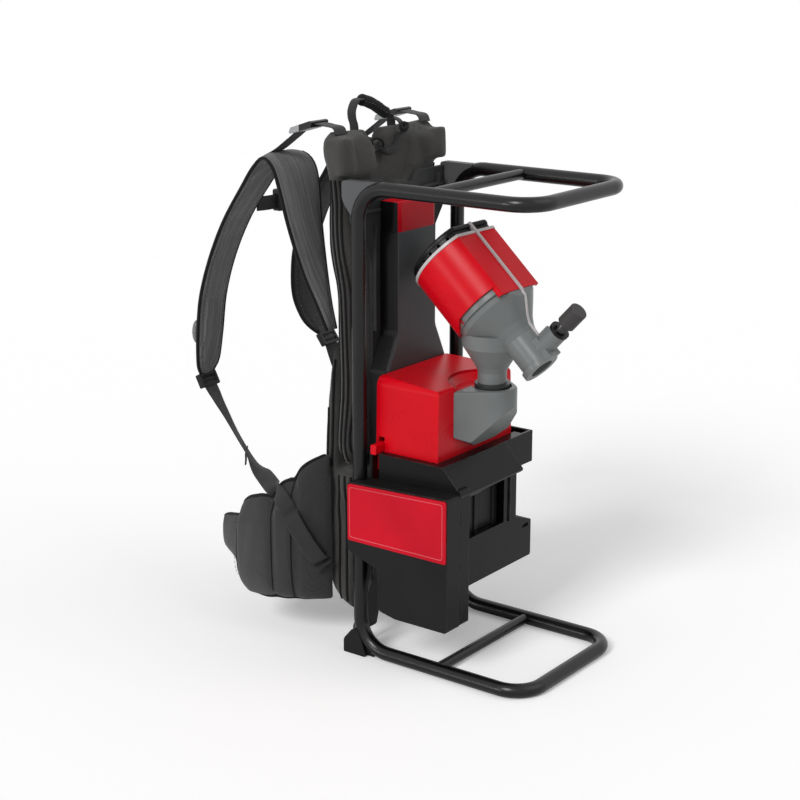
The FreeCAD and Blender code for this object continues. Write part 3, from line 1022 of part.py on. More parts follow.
def handle_parts():
    # A webbing loop flopped to one side, with a padded grip along its slope
    y = HANDLE_Y
    near, far = -53.0, 26.0
    low, top = PAD_TOP_Z + 0.8, PAD_TOP_Z + 31.0
    path = [V(near, y, low), V(near - 5, y, top - 10), V(near + 2, y, top), V(near + 12, y, top + 2),
            V(-8, y, top - 9), V(far - 8, y, low + 8), V(far, y, low)]
    wire = Part.Wire([Part.LineSegment(path[0], path[1]).toShape(), Part.Arc(path[1], path[2], path[3]).toShape(),
                      Part.Arc(path[3], path[4], path[5]).toShape(),
                      Part.LineSegment(path[5], path[6]).toShape()])
    h = HANDLE_WIDTH / 2
    section = Part.makePolygon([V(near - 1.2, y - h, low), V(near + 1.2, y - h, low), V(near + 1.2, y + h, low),
                                V(near - 1.2, y + h, low), V(near - 1.2, y - h, low)])
    webbing = wire.makePipeShell([section], True, True, 1)
    slope = (path[4] - path[3]).normalize()
    grip_path = Part.Wire([Part.Arc(path[3], path[4], path[5]).toShape()])
    circle = Part.Wire([Part.makeCircle(GRIP_R, path[3], slope)])
    grip = grip_path.makePipeShell([circle], True, True)
    keep("carry_handle", webbing)
    keep("handle_grip", grip.cut(webbing))


def main():
    os.makedirs("parts", exist_ok=True)
    frame_parts()
    back_plate_parts()
    tower_parts()
    dock_parts()
    housing_parts()
    battery_parts()
    swivel_parts()
    head_parts()
    rotor_parts()
    plunger_parts()
    back_pad_parts()
    harness_straps()
    hip_belt()
    handle_parts()
    for name, shape in PIECES.items():
        shape = shape.copy()
        shape.translate(V(0, -ORIGIN_Y, 0))
        shape.exportStep("parts/" + name + ".step")
        bound = shape.BoundBox
        print(name, shape.isValid(), len(shape.Solids), round(shape.Volume / 1000, 1),
              [round(v, 1) for v in (bound.XMin, bound.XMax, bound.YMin, bound.YMax, bound.ZMin, bound.ZMax)])


main()
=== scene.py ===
import bpy
import bmesh
import math
from mathutils import Matrix, Vector
from mathutils.bvhtree import BVHTree


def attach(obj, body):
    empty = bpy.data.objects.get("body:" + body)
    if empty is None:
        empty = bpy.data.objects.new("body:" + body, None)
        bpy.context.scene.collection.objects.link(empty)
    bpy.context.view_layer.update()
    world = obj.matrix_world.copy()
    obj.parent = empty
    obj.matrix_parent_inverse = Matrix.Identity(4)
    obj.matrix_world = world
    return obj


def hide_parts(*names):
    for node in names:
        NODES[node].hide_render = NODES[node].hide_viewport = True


# Looks for the backpack power unit. Metres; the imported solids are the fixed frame.
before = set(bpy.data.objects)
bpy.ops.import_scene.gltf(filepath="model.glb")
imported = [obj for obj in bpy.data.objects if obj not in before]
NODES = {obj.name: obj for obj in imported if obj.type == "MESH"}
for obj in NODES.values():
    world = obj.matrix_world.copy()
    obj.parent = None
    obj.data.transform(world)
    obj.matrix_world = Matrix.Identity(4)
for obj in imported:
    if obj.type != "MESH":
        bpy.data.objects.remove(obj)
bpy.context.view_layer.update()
# How far the plane of the upright tubes lies behind the frame's zero, in millimetres
ORIGIN_Y = 11.0
# The motor head's own frame: the turn of its axis, and Y and Z of the middle of its rear face
HEAD_TURN = math.radians(133.0)
HEAD_REAR = (-71.8, 541.4)


def at(x, y, z):
    # Millimetres from the plane of the upright tubes, as the solids are laid out
    return Vector((x / 1000, (y - ORIGIN_Y) / 1000, z / 1000))


def on_head(x, y, z):
    # Millimetres in the head's own frame, Y out of its flat and Z along its axis to the barrel
    c, s = math.cos(HEAD_TURN), math.sin(HEAD_TURN)
    return at(x, HEAD_REAR[0] + y * c - z * s, HEAD_REAR[1] + y * s + z * c)


def tint(red, green, blue):
    # Screen colour of 0 to 255 as the linear colour a shader takes
    linear = []
    for part in (red, green, blue):
        c = part / 255
        linear.append(c / 12.92 if c <= 0.04045 else ((c + 0.055) / 1.055) ** 2.4)
    return tuple(linear) + (1.0,)


# Camera, floor and light

# The photograph's view, fitted to the frame: turns in radians, lens in millimetres, place in metres
YAW, PITCH, ROLL = 0.6440, 0.2743, -0.0007
LENS = 79.517
EYE = (-1.8470, -1.3817, 0.9781)

# The floor's radius and where it fades out, in metres, and the glow that only the camera sees
FLOOR_RADIUS = 9.0
FADE_FROM, FADE_TO = 1.6, 6.0
FLOOR_LIFT = 0.17
WORLD_LIGHT = 0.40

# A broad soft key from the upper left of the camera, a weaker fill from its right and a low one
# from the left that runs down the upright tubes: direction, strength and width in degrees
LIGHTS = {
    "key": ((0.8, 0.05, -0.6), 1.7, 20),
    "fill": ((-0.2, 0.7, -0.7), 0.5, 50),
    "low": ((0.92, -0.38, -0.08), 0.5, 14),
}


def make_camera():
    ahead = Vector((math.cos(YAW) * math.cos(PITCH), math.sin(YAW) * math.cos(PITCH), -math.sin(PITCH)))
    right = Vector((math.sin(YAW), -math.cos(YAW), 0))
    up = right.cross(ahead)
    across = right * math.cos(ROLL) + up * math.sin(ROLL)
    upward = up * math.cos(ROLL) - right * math.sin(ROLL)
    data = bpy.data.cameras.new("camera")
    data.sensor_width = 36
    data.lens = LENS
    camera = bpy.data.objects.new("camera", data)
    place = Matrix((across, upward, -ahead)).transposed().to_4x4()
    place.translation = Vector(EYE)
    camera.matrix_world = place
    bpy.context.scene.collection.objects.link(camera)
    bpy.context.scene.camera = camera


class Nodes:
    # Short way to build a node tree
    def __init__(self, tree):
        self.tree = tree
        tree.nodes.clear()

    def add(self, kind, **values):
        node = self.tree.nodes.new(kind)
        for key, value in values.items():
            setattr(node, key, value)
        return node

    def link(self, source, target):
        self.tree.links.new(source, target)

    def math(self, operation, first, second=None, clamp=False):
        node = self.add("ShaderNodeMath", operation=operation, use_clamp=clamp)
        for slot, value in enumerate((first, second)):
            if value is None:
                continue
            if isinstance(value, (int, float)):
                node.inputs[slot].default_value = value
            else:
                self.link(value, node.inputs[slot])
        return node.outputs[0]

    def ramp(self, source, low, high, low_value=0.0, high_value=1.0):
        node = self.add("ShaderNodeMapRange")
        node.inputs["From Min"].default_value = low
        node.inputs["From Max"].default_value = high
        node.inputs["To Min"].default_value = low_value
        node.inputs["To Max"].default_value = high_value
        self.link(source, node.inputs["Value"])
        return node.outputs[0]

    def noise(self, where, scale, detail=3.0, roughness=0.5):
        node = self.add("ShaderNodeTexNoise")
        node.inputs["Scale"].default_value = scale
        node.inputs["Detail"].default_value = detail
        node.inputs["Roughness"].default_value = roughness
        self.link(where, node.inputs["Vector"])
        return node.outputs["Fac"]

    def mix(self, share, first, second):
        node = self.add("ShaderNodeMix", data_type="RGBA")
        self.link(share, node.inputs[0])
        for slot, value in ((6, first), (7, second)):
            if isinstance(value, tuple):
                node.inputs[slot].default_value = value
            else:
                self.link(value, node.inputs[slot])
        return node.outputs[2]

    def bump(self, height, strength, distance, before=None):
        node = self.add("ShaderNodeBump")
        node.inputs["Strength"].default_value = strength
        node.inputs["Distance"].default_value = distance
        self.link(height, node.inputs["Height"])
        if before is not None:
            self.link(before, node.inputs["Normal"])
        return node.outputs["Normal"]


def new_material(name):
    material = bpy.data.materials.new(name)
    material.use_nodes = True
    return material, Nodes(material.node_tree)


def make_floor():
    # Pale floor that fades out into the white surround far from the object
    mesh = bpy.data.meshes.new("floor")
    rings = bmesh.new()
    bmesh.ops.create_circle(rings, cap_ends=True, segments=96, radius=FLOOR_RADIUS)
    rings.to_mesh(mesh)
    rings.free()
    floor = bpy.data.objects.new("floor", mesh)
    bpy.context.scene.collection.objects.link(floor)
    material, n = new_material("floor_pale")
    place = n.add("ShaderNodeNewGeometry")
    far = n.add("ShaderNodeVectorMath", operation="LENGTH")
    n.link(place.outputs["Position"], far.inputs[0])
    fade = n.ramp(far.outputs["Value"], FADE_FROM, FADE_TO)
    shade = n.add("ShaderNodeBsdfDiffuse")
    shade.inputs["Color"].default_value = tint(252, 252, 252)
    lift = n.add("ShaderNodeEmission")
    path = n.add("ShaderNodeLightPath")
    n.link(n.math("MULTIPLY", path.outputs["Is Camera Ray"], FLOOR_LIFT), lift.inputs["Strength"])
    lifted = n.add("ShaderNodeAddShader")
    n.link(shade.outputs[0], lifted.inputs[0])
    n.link(lift.outputs[0], lifted.inputs[1])
    clear = n.add("ShaderNodeBsdfTransparent")
    blend = n.add("ShaderNodeMixShader")
    n.link(fade, blend.inputs[0])
    n.link(lifted.outputs[0], blend.inputs[1])
    n.link(clear.outputs[0], blend.inputs[2])
    out = n.add("ShaderNodeOutputMaterial")
    n.link(blend.outputs[0], out.inputs[0])
    mesh.materials.append(material)


def make_surround():
    # White to the camera and in reflections, dimmer as a light on the object
    world = bpy.data.worlds.new("surround")
    world.use_nodes = True
    bpy.context.scene.world = world
    n = Nodes(world.node_tree)
    path = n.add("ShaderNodeLightPath")
    seen = n.math("MAXIMUM", path.outputs["Is Camera Ray"], path.outputs["Is Glossy Ray"])
    seen = n.math("MAXIMUM", seen, path.outputs["Is Transmission Ray"])
    lighting = n.add("ShaderNodeBackground")
    lighting.inputs["Color"].default_value = (1, 1, 1, 1)
    lighting.inputs["Strength"].default_value = WORLD_LIGHT
    shown = n.add("ShaderNodeBackground")
    shown.inputs["Color"].default_value = (1, 1, 1, 1)
    shown.inputs["Strength"].default_value = 1.0
    blend = n.add("ShaderNodeMixShader")
    n.link(seen, blend.inputs[0])
    n.link(lighting.outputs[0], blend.inputs[1])
    n.link(shown.outputs[0], blend.inputs[2])
    out = n.add("ShaderNodeOutputWorld")
    n.link(blend.outputs[0], out.inputs[0])


def make_lights():
    for name, (toward, strength, spread) in LIGHTS.items():
        data = bpy.data.lights.new(name, "SUN")
        data.energy = strength
        data.angle = math.radians(spread)
        lamp = bpy.data.objects.new(name, data)
        lamp.rotation_mode = "QUATERNION"
        lamp.rotation_quaternion = Vector(toward).to_track_quat("-Z", "Y")
        lamp.location = (-1.5, -1.5, 2)
        bpy.context.scene.collection.objects.link(lamp)


# Materials

# Roughness, scale of the grain, its depth in metres, mottling, wear and painted highlight along the edges,
# specular level
PLASTICS = {
    "tube": ("powder_coat", (11, 11, 12), (0.27, 1400, 0.00003, 0.2, 0.22, 0.36)),
    "bracket": ("bracket_black", (18, 18, 19), (0.4, 800, 0.00006, 0.12, 0.25, 0.2)),
    "corner": ("bracket_grey", (82, 83, 84), (0.5, 800, 0.00006, 0.12, 0.25, 0.2)),
    "plate": ("plate_grey", (48, 49, 50), (0.45, 800, 0.00006, 0.12, 0.25, 0.2)),
    "tower": ("tower_grey", (66, 68, 70), (0.4, 700, 0.00006, 0.12, 0.25, 0.2)),
    "tower_red": ("tower_red", (186, 2, 24), (0.34, 1000, 0.00002, 0.07, 0.2, 0.14)),
    "red": ("red_moulding", (200, 2, 22), (0.3, 1000, 0.00002, 0.07, 0.2, 0.14)),
    "label": ("label_red", (186, 3, 30), (0.18, 500, 0.00001, 0.1, 0.1, 0.16)),
    "label_rim": ("label_edge", (214, 84, 92), (0.3, 900, 0.00001, 0.04, 0.1, 0.35)),
    # The dock and the battery take a stronger lighter edge, which is more painted highlight than wear
    "dock": ("dock_black", (14, 13, 14), (0.27, 900, 0.00004, 0.15, 0.6, 0.15)),
    "battery": ("battery_black", (20, 20, 20), (0.38, 700, 0.00007, 0.15, 0.5, 0.15)),
    "head": ("head_grey", (108, 111, 111), (0.34, 700, 0.00006, 0.1, 0.3, 0.3)),
    "bush": ("bush_grey", (48, 50, 50), (0.34, 900, 0.00004, 0.12, 0.25, 0.2)),
    "trim": ("trim_grey", (186, 180, 180), (0.32, 900, 0.00003, 0.12, 0.25, 0.35)),
    "vent": ("vent_black", (14, 13, 14), (0.34, 900, 0.00004, 0.12, 0.25, 0.2)),
    "knob": ("knob_grey", (60, 58, 58), (0.45, 500, 0.00012, 0.12, 0.25, 0.2)),
    "buckle": ("buckle_black", (15, 15, 16), (0.32, 900, 0.00004, 0.12, 0.25, 0.25)),
    "keeper": ("keeper_grey", (120, 120, 122), (0.3, 900, 0.00004, 0.3, 0.4, 0.35)),
    "silver": ("buckle_grey", (150, 152, 154), (0.3, 900, 0.00003, 0.12, 0.25, 0.35)),
    "steel": ("machined_steel", (190, 190, 194), (0.3, 1200, 0.00003, 0.05, 0.1, 0.5)),
    "board": ("board_green", (30, 110, 70), (0.35, 900, 0.00004, 0.12, 0.25, 0.35)),
    "copper": ("copper", (200, 140, 90), (0.35, 900, 0.00004, 0.12, 0.25, 0.35)),
    "thread": ("thread", (84, 83, 85), (0.7, 1500, 0.00002, 0.12, 0.25, 0.35)),
}
METALS = ("steel", "copper")

# Pitch of the weave and its depth in metres, sheen, strength of the long streaks
FABRICS = {
    "fabric": ("pad_cloth", (64, 63, 61), (0.0016, 0.00025, 0.2, 0.0)),
    "strap": ("strap_cloth", (106, 105, 105), (0.0016, 0.00025, 0.2, 0.5)),
    # Painted shade: the far strap is the near strap's cloth made darker, with weaker streaks
    "strap_shaded": ("strap_cloth_shaded", (44, 44, 45), (0.0016, 0.00025, 0.2, 0.15)),
    "wing": ("wing_cloth", (49, 48, 49), (0.0014, 0.0002, 0.2, 0.0)),
    "binding": ("binding_tape", (13, 13, 14), (0.001, 0.0002, 0.05, 0.0)),
    "grip": ("grip_sleeve", (16, 16, 17), (0.0012, 0.0002, 0.05, 0.0)),
}
CLOTH_FADE = 0.22

# Black of the sides of the tower, and of the rear part of each lifter buckle, up to this Y in metres
SECOND_BLACK = (14, 14, 15)
BUCKLE_SPLIT_Y = 0.087

# Scales of the broad patches and of the wear and painted highlight along the edges of mouldings, and how far
# it reaches from an edge
PATCH_SCALE = 14.0
WEAR_AND_HIGHLIGHT_SCALE = 60.0
WEAR_AND_HIGHLIGHT_REACH = 0.0012
# How far sideways a face looks before it takes the second colour
FLANK_FROM, FLANK_TO = 0.60, 0.72
# Pitch of the yarn in the webbing, in metres
WEBBING_PITCH = 0.0018


def scaled(colour, factor, add=0.0):
    return tuple(min(1.0, c * factor + add) for c in colour[:3]) + (1.0,)


def plastic(name, colour, numbers, metallic, flank=None, inner=None):
    # Moulded or painted surface: fine grain, faint mottling, and a lighter colour along the edges that is
    # partly wear and partly painted highlight.
    # Where flank is given, the faces that look sideways take that colour.
    # Inner is a second colour and the Y that it reaches up to, in metres.
    roughness, grain, grain_depth, mottle, edge, specular = numbers
    material, n = new_material(name)
    where = n.add("ShaderNodeTexCoord").outputs["Object"]
    broad = n.noise(where, PATCH_SCALE, 4.0)
    fine = n.noise(where, grain, 2.0)
    bevel = n.add("ShaderNodeBevel", samples=4)
    bevel.inputs["Radius"].default_value = WEAR_AND_HIGHLIGHT_REACH
    flat = n.add("ShaderNodeNewGeometry")
    facing = n.add("ShaderNodeVectorMath", operation="DOT_PRODUCT")
    n.link(bevel.outputs[0], facing.inputs[0])
    n.link(flat.outputs["Normal"], facing.inputs[1])
    # Lighter colour along the edges: partly wear, partly a painted highlight
    wear_and_edge_highlight = n.ramp(facing.outputs["Value"], 0.995, 0.93)
    wear_and_edge_highlight = n.math("MULTIPLY", wear_and_edge_highlight, n.ramp(n.noise(where, WEAR_AND_HIGHLIGHT_SCALE, 4.0), 0.35, 0.65))
    wear_and_edge_highlight = n.math("MULTIPLY", wear_and_edge_highlight, edge, clamp=True)
    base = n.mix(n.ramp(broad, 0.3, 0.7), scaled(colour, 1 - mottle), scaled(colour, 1 + mottle))
    base = n.mix(wear_and_edge_highlight, base, scaled(colour, 1.5, 0.10))
    if flank:
        turned = n.add("ShaderNodeSeparateXYZ")
        n.link(n.add("ShaderNodeTexCoord").outputs["Normal"], turned.inputs[0])
        sideways = n.math("ABSOLUTE", turned.outputs[0])
        base = n.mix(n.ramp(sideways, FLANK_FROM, FLANK_TO), base, flank)
    if inner:
        spot = n.add("ShaderNodeSeparateXYZ")
        n.link(where, spot.inputs[0])
        base = n.mix(n.ramp(spot.outputs[1], inner[1], inner[1] - 0.0005), base, inner[0])
    shade = n.add("ShaderNodeBsdfPrincipled")
    n.link(base, shade.inputs["Base Color"])
    rough = n.ramp(broad, 0.25, 0.75, roughness - 0.05, roughness + 0.06)
    n.link(rough, shade.inputs["Roughness"])
    shade.inputs["Specular IOR Level"].default_value = specular
    shade.inputs["Metallic"].default_value = metallic
    soft_edge = n.bump(fine, 0.35, grain_depth, bevel.outputs[0])
    n.link(soft_edge, shade.inputs["Normal"])
    out = n.add("ShaderNodeOutputMaterial")
    n.link(shade.outputs[0], out.inputs[0])
    return material


def fabric(name, colour, numbers):
    # Woven cloth: a weave that shows from any side, faint fading and lint.
    # Streaks are long light and dark ribs that follow the piece's own map.
    pitch, depth, fuzz, streaks = numbers
    material, n = new_material(name)
    where = n.add("ShaderNodeTexCoord").outputs["Object"]
    parts = n.add("ShaderNodeSeparateXYZ")
    bend = n.add("ShaderNodeTexNoise")
    bend.inputs["Scale"].default_value = 30.0
    n.link(where, bend.inputs["Vector"])
    wander = n.add("ShaderNodeVectorMath", operation="MULTIPLY_ADD")
    wander.inputs[1].default_value = (pitch * 1.5,) * 3
    n.link(bend.outputs["Color"], wander.inputs[0])
    n.link(where, wander.inputs[2])
    n.link(wander.outputs[0], parts.inputs[0])
    turn = 2 * math.pi / pitch
    waves = [n.math("SINE", n.math("MULTIPLY", parts.outputs[i], turn)) for i in range(3)]
    weave = n.math("MULTIPLY", waves[0], waves[2])
    weave = n.math("ADD", weave, n.math("MULTIPLY", waves[1], waves[2]))
    weave = n.math("ADD", weave, n.math("MULTIPLY", waves[0], waves[1]))
    broad = n.noise(where, 9.0, 5.0, 0.6)
    lint = n.noise(where, 420.0, 3.0)
    base = n.mix(n.ramp(broad, 0.3, 0.7), scaled(colour, 1 - CLOTH_FADE), scaled(colour, 1 + CLOTH_FADE))
    # Painted shade: darker in the hollows of the weave, where the bump sinks
    base = n.mix(n.ramp(weave, 0.6, -1.4, 0.0, 0.7), base, scaled(colour, 0.62))
    if streaks:
        stretch = n.add("ShaderNodeMapping")
        stretch.inputs["Scale"].default_value = (260, 5, 1)
        n.link(n.add("ShaderNodeUVMap").outputs[0], stretch.inputs["Vector"])
        rib = n.noise(stretch.outputs[0], 1.0, 4.0, 0.6)
        base = n.mix(n.ramp(rib, 0.45, 0.75, 0.0, streaks * 2), base, scaled(colour, 1.9))
        weave = n.math("ADD", weave, n.math("MULTIPLY", rib, 3.0))
    shade = n.add("ShaderNodeBsdfPrincipled")
    n.link(base, shade.inputs["Base Color"])
    n.link(n.ramp(lint, 0.3, 0.7, 0.82, 0.95), shade.inputs["Roughness"])
    shade.inputs["Specular IOR Level"].default_value = 0.25
    shade.inputs["Sheen Weight"].default_value = fuzz
    shade.inputs["Sheen Roughness"].default_value = 0.5
    first = n.bump(broad, 0.25, 0.002)
    second = n.bump(lint, 0.2, 0.0002, first)
    n.link(n.bump(weave, 0.6, depth, second), shade.inputs["Normal"])
    out = n.add("ShaderNodeOutputMaterial")
    n.link(shade.outputs[0], out.inputs[0])
    return material


def webbing(name, colour):
    # Flat woven tape: rows of yarn across the tape, read from the strip's own map
    material, n = new_material(name)
    where = n.add("ShaderNodeUVMap").outputs[0]
    parts = n.add("ShaderNodeSeparateXYZ")
    n.link(where, parts.inputs[0])
    turn = 2 * math.pi / WEBBING_PITCH
    across = n.math("SINE", n.math("MULTIPLY", parts.outputs[0], turn))
    along = n.math("SINE", n.math("MULTIPLY", parts.outputs[1], turn * 0.7))
    weave = n.math("MULTIPLY", across, along)
    cord = n.math("ADD", weave, n.math("MULTIPLY", across, 0.6))
    space = n.add("ShaderNodeTexCoord").outputs["Object"]
    broad = n.noise(space, 20.0, 4.0)
    base = n.mix(n.ramp(broad, 0.3, 0.7), scaled(colour, 0.8), scaled(colour, 1.3))
    # Painted shade: darker in the hollows between the yarns, where the bump sinks
    base = n.mix(n.ramp(cord, 0.4, -1.4, 0.0, 0.8), base, scaled(colour, 0.5))
    shade = n.add("ShaderNodeBsdfPrincipled")
    n.link(base, shade.inputs["Base Color"])
    n.link(n.ramp(broad, 0.3, 0.7, 0.6, 0.75), shade.inputs["Roughness"])
    shade.inputs["Specular IOR Level"].default_value = 0.35
    shade.inputs["Sheen Weight"].default_value = 0.15
    n.link(n.bump(cord, 0.7, 0.0003), shade.inputs["Normal"])
    out = n.add("ShaderNodeOutputMaterial")
    n.link(shade.outputs[0], out.inputs[0])
    return material


def make_materials():
    black = tint(*SECOND_BLACK)
    special = {"tower": {"flank": black}, "tower_red": {"flank": black},
               "silver": {"inner": (black, BUCKLE_SPLIT_Y)}}
    made = {}
    for key, (name, colour, numbers) in PLASTICS.items():
        metallic = 1.0 if key in METALS else 0.0
        made[key] = plastic(name, tint(*colour), numbers, metallic, **special.get(key, {}))
    for key, (name, colour, numbers) in FABRICS.items():
        made[key] = fabric(name, tint(*colour), numbers)
    made["web"] = webbing("webbing", tint(26, 26, 28))
    return made


# The material of each solid that is shown as it is
CARRIED = {
    "frame_tube": "tube", "frame_crossbars": "tube", "foot_brackets": "bracket", "corner_brackets": "corner",
    "back_plate": "plate", "spine_screws": "steel", "tower_housing": "tower", "tower_cap": "tower_red",
    "control_board": "board", "dock_shell": "dock", "dock_terminals": "copper", "power_housing": "red",
    "motor_controller": "steel", "switch_body": "vent", "power_button": "vent", "battery_latch": "red",
    "battery_case": "battery", "battery_body": "battery", "battery_rails": "battery",
    "battery_label_panel": "label", "battery_cells": "steel",
    "battery_contacts": "copper", "swivel_base": "head", "swivel_bush": "bush", "motor_hood": "red",
    "rear_band": "trim", "vent_ring": "vent", "rear_cap": "vent", "head_shell_left": "head",
    "head_shell_right": "head", "seam_strip": "trim", "stator": "steel", "rear_bearing": "steel",
    "front_bearing": "steel", "rotor_shaft": "steel", "rotor_core": "steel", "cooling_fan": "vent",
    "drive_socket": "steel", "plunger_pin": "steel", "plunger_spring": "steel", "plunger_collar": "vent",
    "plunger_knob": "knob", "ladder_locks": "buckle", "lifter_buckles": "silver", "sternum_buckle": "buckle",
}


def dress_nodes():
    for name, key in CARRIED.items():
        data = NODES[name].data
        data.materials.clear()
        data.materials.append(MATERIALS[key])


# Pieces

def new_piece(name, mesh):
    piece = bpy.data.objects.new(name, mesh)
    bpy.context.scene.collection.objects.link(piece)
    return piece


def dress(piece, material, body="carrier", slot="fabric_dark"):
    mesh = piece.data
    mesh.materials.clear()
    mesh.materials.append(MATERIALS[material])
    for face in mesh.polygons:
        face.use_smooth = True
    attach(piece, body)


def add_piece(name, mesh, material, **kind):
    piece = new_piece(name, mesh)
    dress(piece, material, **kind)
    return piece


def made_mesh(name, build):
    # The finished mesh of a build, with its faces turned outward
    bmesh.ops.recalc_face_normals(build, faces=build.faces)
    mesh = bpy.data.meshes.new(name)
    build.to_mesh(mesh)
    build.free()
    return mesh


def loft(name, rings):
    # Closed rings of points joined into one skin, mapped in metres round (u) and along (v)
    build = bmesh.new()
    chart = build.loops.layers.uv.new("UVMap")
    rows = [[build.verts.new(p) for p in ring] for ring in rings]
    count = len(rings[0])
    along = 0.0
    for i in range(len(rows) - 1):
        step = (rings[i + 1][0] - rings[i][0]).length
        round_way = 0.0
        for k in range(count):
            after = (k + 1) % count
            width = (rings[i][after] - rings[i][k]).length
            face = build.faces.new((rows[i][k], rows[i][after], rows[i + 1][after], rows[i + 1][k]))
            spots = ((round_way, along), (round_way + width, along),
                     (round_way + width, along + step), (round_way, along + step))
            for corner, spot in zip(face.loops, spots):
                corner[chart].uv = spot
            round_way += width
        along += step
    build.faces.new(list(reversed(rows[0])))
    build.faces.new(rows[-1])
    return made_mesh(name, build)


def spread_points(stations, count):
    # Evenly spaced rows along a smooth curve through the stations (Catmull-Rom)
    rows = [list(s) for s in stations]
    spans = [math.dist(a[:3], b[:3]) for a, b in zip(rows, rows[1:])]
    total = sum(spans)
    made = []
    for i in range(count):
        want = total * i / (count - 1)
        k = 0
        while k < len(spans) - 1 and want > spans[k]:
            want -= spans[k]
            k += 1
        t = min(1.0, want / spans[k])
        p1, p2 = rows[k], rows[k + 1]
        p0 = rows[k - 1] if k else [2 * a - b for a, b in zip(p1, p2)]
        p3 = rows[k + 2] if k + 2 < len(rows) else [2 * b - a for a, b in zip(p1, p2)]
        made.append([0.5 * (2 * b + (c - a) * t + (2 * a - 5 * b + 4 * c - d) * t * t
                            + (3 * b - a - 3 * c + d) * t ** 3)
                     for a, b, c, d in zip(p0, p1, p2, p3)])
    return made


def cord_along(name, points, radius, material, sides=8, **kind):
    # Round piping or a seam bead along a line of points
    rings = []
    side = None
    for i, point in enumerate(points):
        before = points[max(i - 1, 0)]
        after = points[min(i + 1, len(points) - 1)]
        ahead = (after - before).normalized()
        if side is None:
            side = ahead.orthogonal().normalized()
        side = (side - ahead * side.dot(ahead)).normalized()
        other = ahead.cross(side)
        rings.append([point + (side * math.cos(a) + other * math.sin(a)) * radius
                      for a in (2 * math.pi * k / sides for k in range(sides))])
    add_piece(name, loft(name, rings), material, **kind)


# The pads' cloth run: the pressure in them, how far inside their form they start, in metres, and the steps of
# the run.
PRESSURE = 4.0
SHRINK = 0.0015
CLOTH_STEPS = 20


def puffed(name, node, material, voxel, cap, mesh=None):
    # Foam under cloth: the solid's own form, or a mesh made for it, filled out by a short cloth run.
    # Voxel is the size of its faces, and cap is the most that a point may move in the run.
    piece = new_piece(name, mesh or NODES[node].data.copy())
    bpy.context.view_layer.objects.active = piece
    remesh = piece.modifiers.new("even", "REMESH")
    remesh.mode = "VOXEL"
    remesh.voxel_size = voxel
    smooth = piece.modifiers.new("ease", "SMOOTH")
    smooth.factor = 0.5
    smooth.iterations = 4
    bake(piece)
    move_along_normals(piece.data, -SHRINK)
    start = [v.co.copy() for v in piece.data.vertices]
    cloth = piece.modifiers.new("cloth", "CLOTH")
    cloth.settings.use_pressure = True
    cloth.settings.uniform_pressure_force = PRESSURE
    cloth.settings.effector_weights.gravity = 0
    cloth.settings.quality = 4
    cloth.settings.tension_stiffness = 30
    cloth.settings.compression_stiffness = 30
    cloth.settings.bending_stiffness = 1.0
    cloth.point_cache.frame_start = 1
    cloth.point_cache.frame_end = CLOTH_STEPS
    scene = bpy.context.scene
    for step in range(1, CLOTH_STEPS + 1):
        scene.frame_set(step)
    bake(piece)
    for vertex, home in zip(piece.data.vertices, start):
        move = vertex.co - home
        if move.length > cap:
            vertex.co = home + move * (cap / move.length)
    scene.frame_set(1)
    finer = piece.modifiers.new("finer", "SUBSURF")
    finer.levels = 1
    finer.render_levels = 1
    bake(piece)
    dress(piece, material)
    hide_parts(node)
    return piece


def bake(piece):
    # Turns what the modifiers make into the piece's own mesh
    graph = bpy.context.evaluated_depsgraph_get()
    made = bpy.data.meshes.new_from_object(piece.evaluated_get(graph))
    piece.modifiers.clear()
    piece.data = made


def move_along_normals(mesh, distance):
    normals = [v.normal.copy() for v in mesh.vertices]
    for vertex, normal in zip(mesh.vertices, normals):
        vertex.co += normal * distance


# Soft parts

def surface(piece):
    # The finished skin of a piece, for seams and webbing to be laid on
    mesh = piece.data
    points = [piece.matrix_world @ v.co for v in mesh.vertices]
    return BVHTree.FromPolygons(points, [list(f.vertices) for f in mesh.polygons])


def laid(skin, points, toward, lift):
    # Points moved along a direction until they rest on the skin; those that miss it are left out
    rest = []
    for point in points:
        hit = skin.ray_cast(point - toward * 0.25, toward)[0]
        if hit is not None:
            rest.append(hit - toward * lift)
    return rest


def eased(line):
    # The same line with its small steps smoothed out
    for again in range(3):
        line = [line[0]] + [(a + b * 2 + c) / 4 for a, b, c in zip(line, line[1:], line[2:])] + [line[-1]]
    return line


def line_between(start, end, count):
    return [start.lerp(end, i / (count - 1)) for i in range(count)]


def along_line(line, reach, distance):
    # The point at a distance along a line, where reach is the distance of each of its points
    for before, after, near, far in zip(line, line[1:], reach, reach[1:]):
        if distance <= far and far > near:
            return before.lerp(after, (distance - near) / (far - near))
    return line[-1]


# Length of a stitch, the gap to the next one and the radius of the thread, in metres
STITCH = 0.0042
STITCH_GAP = 0.0026
THREAD = 0.00045


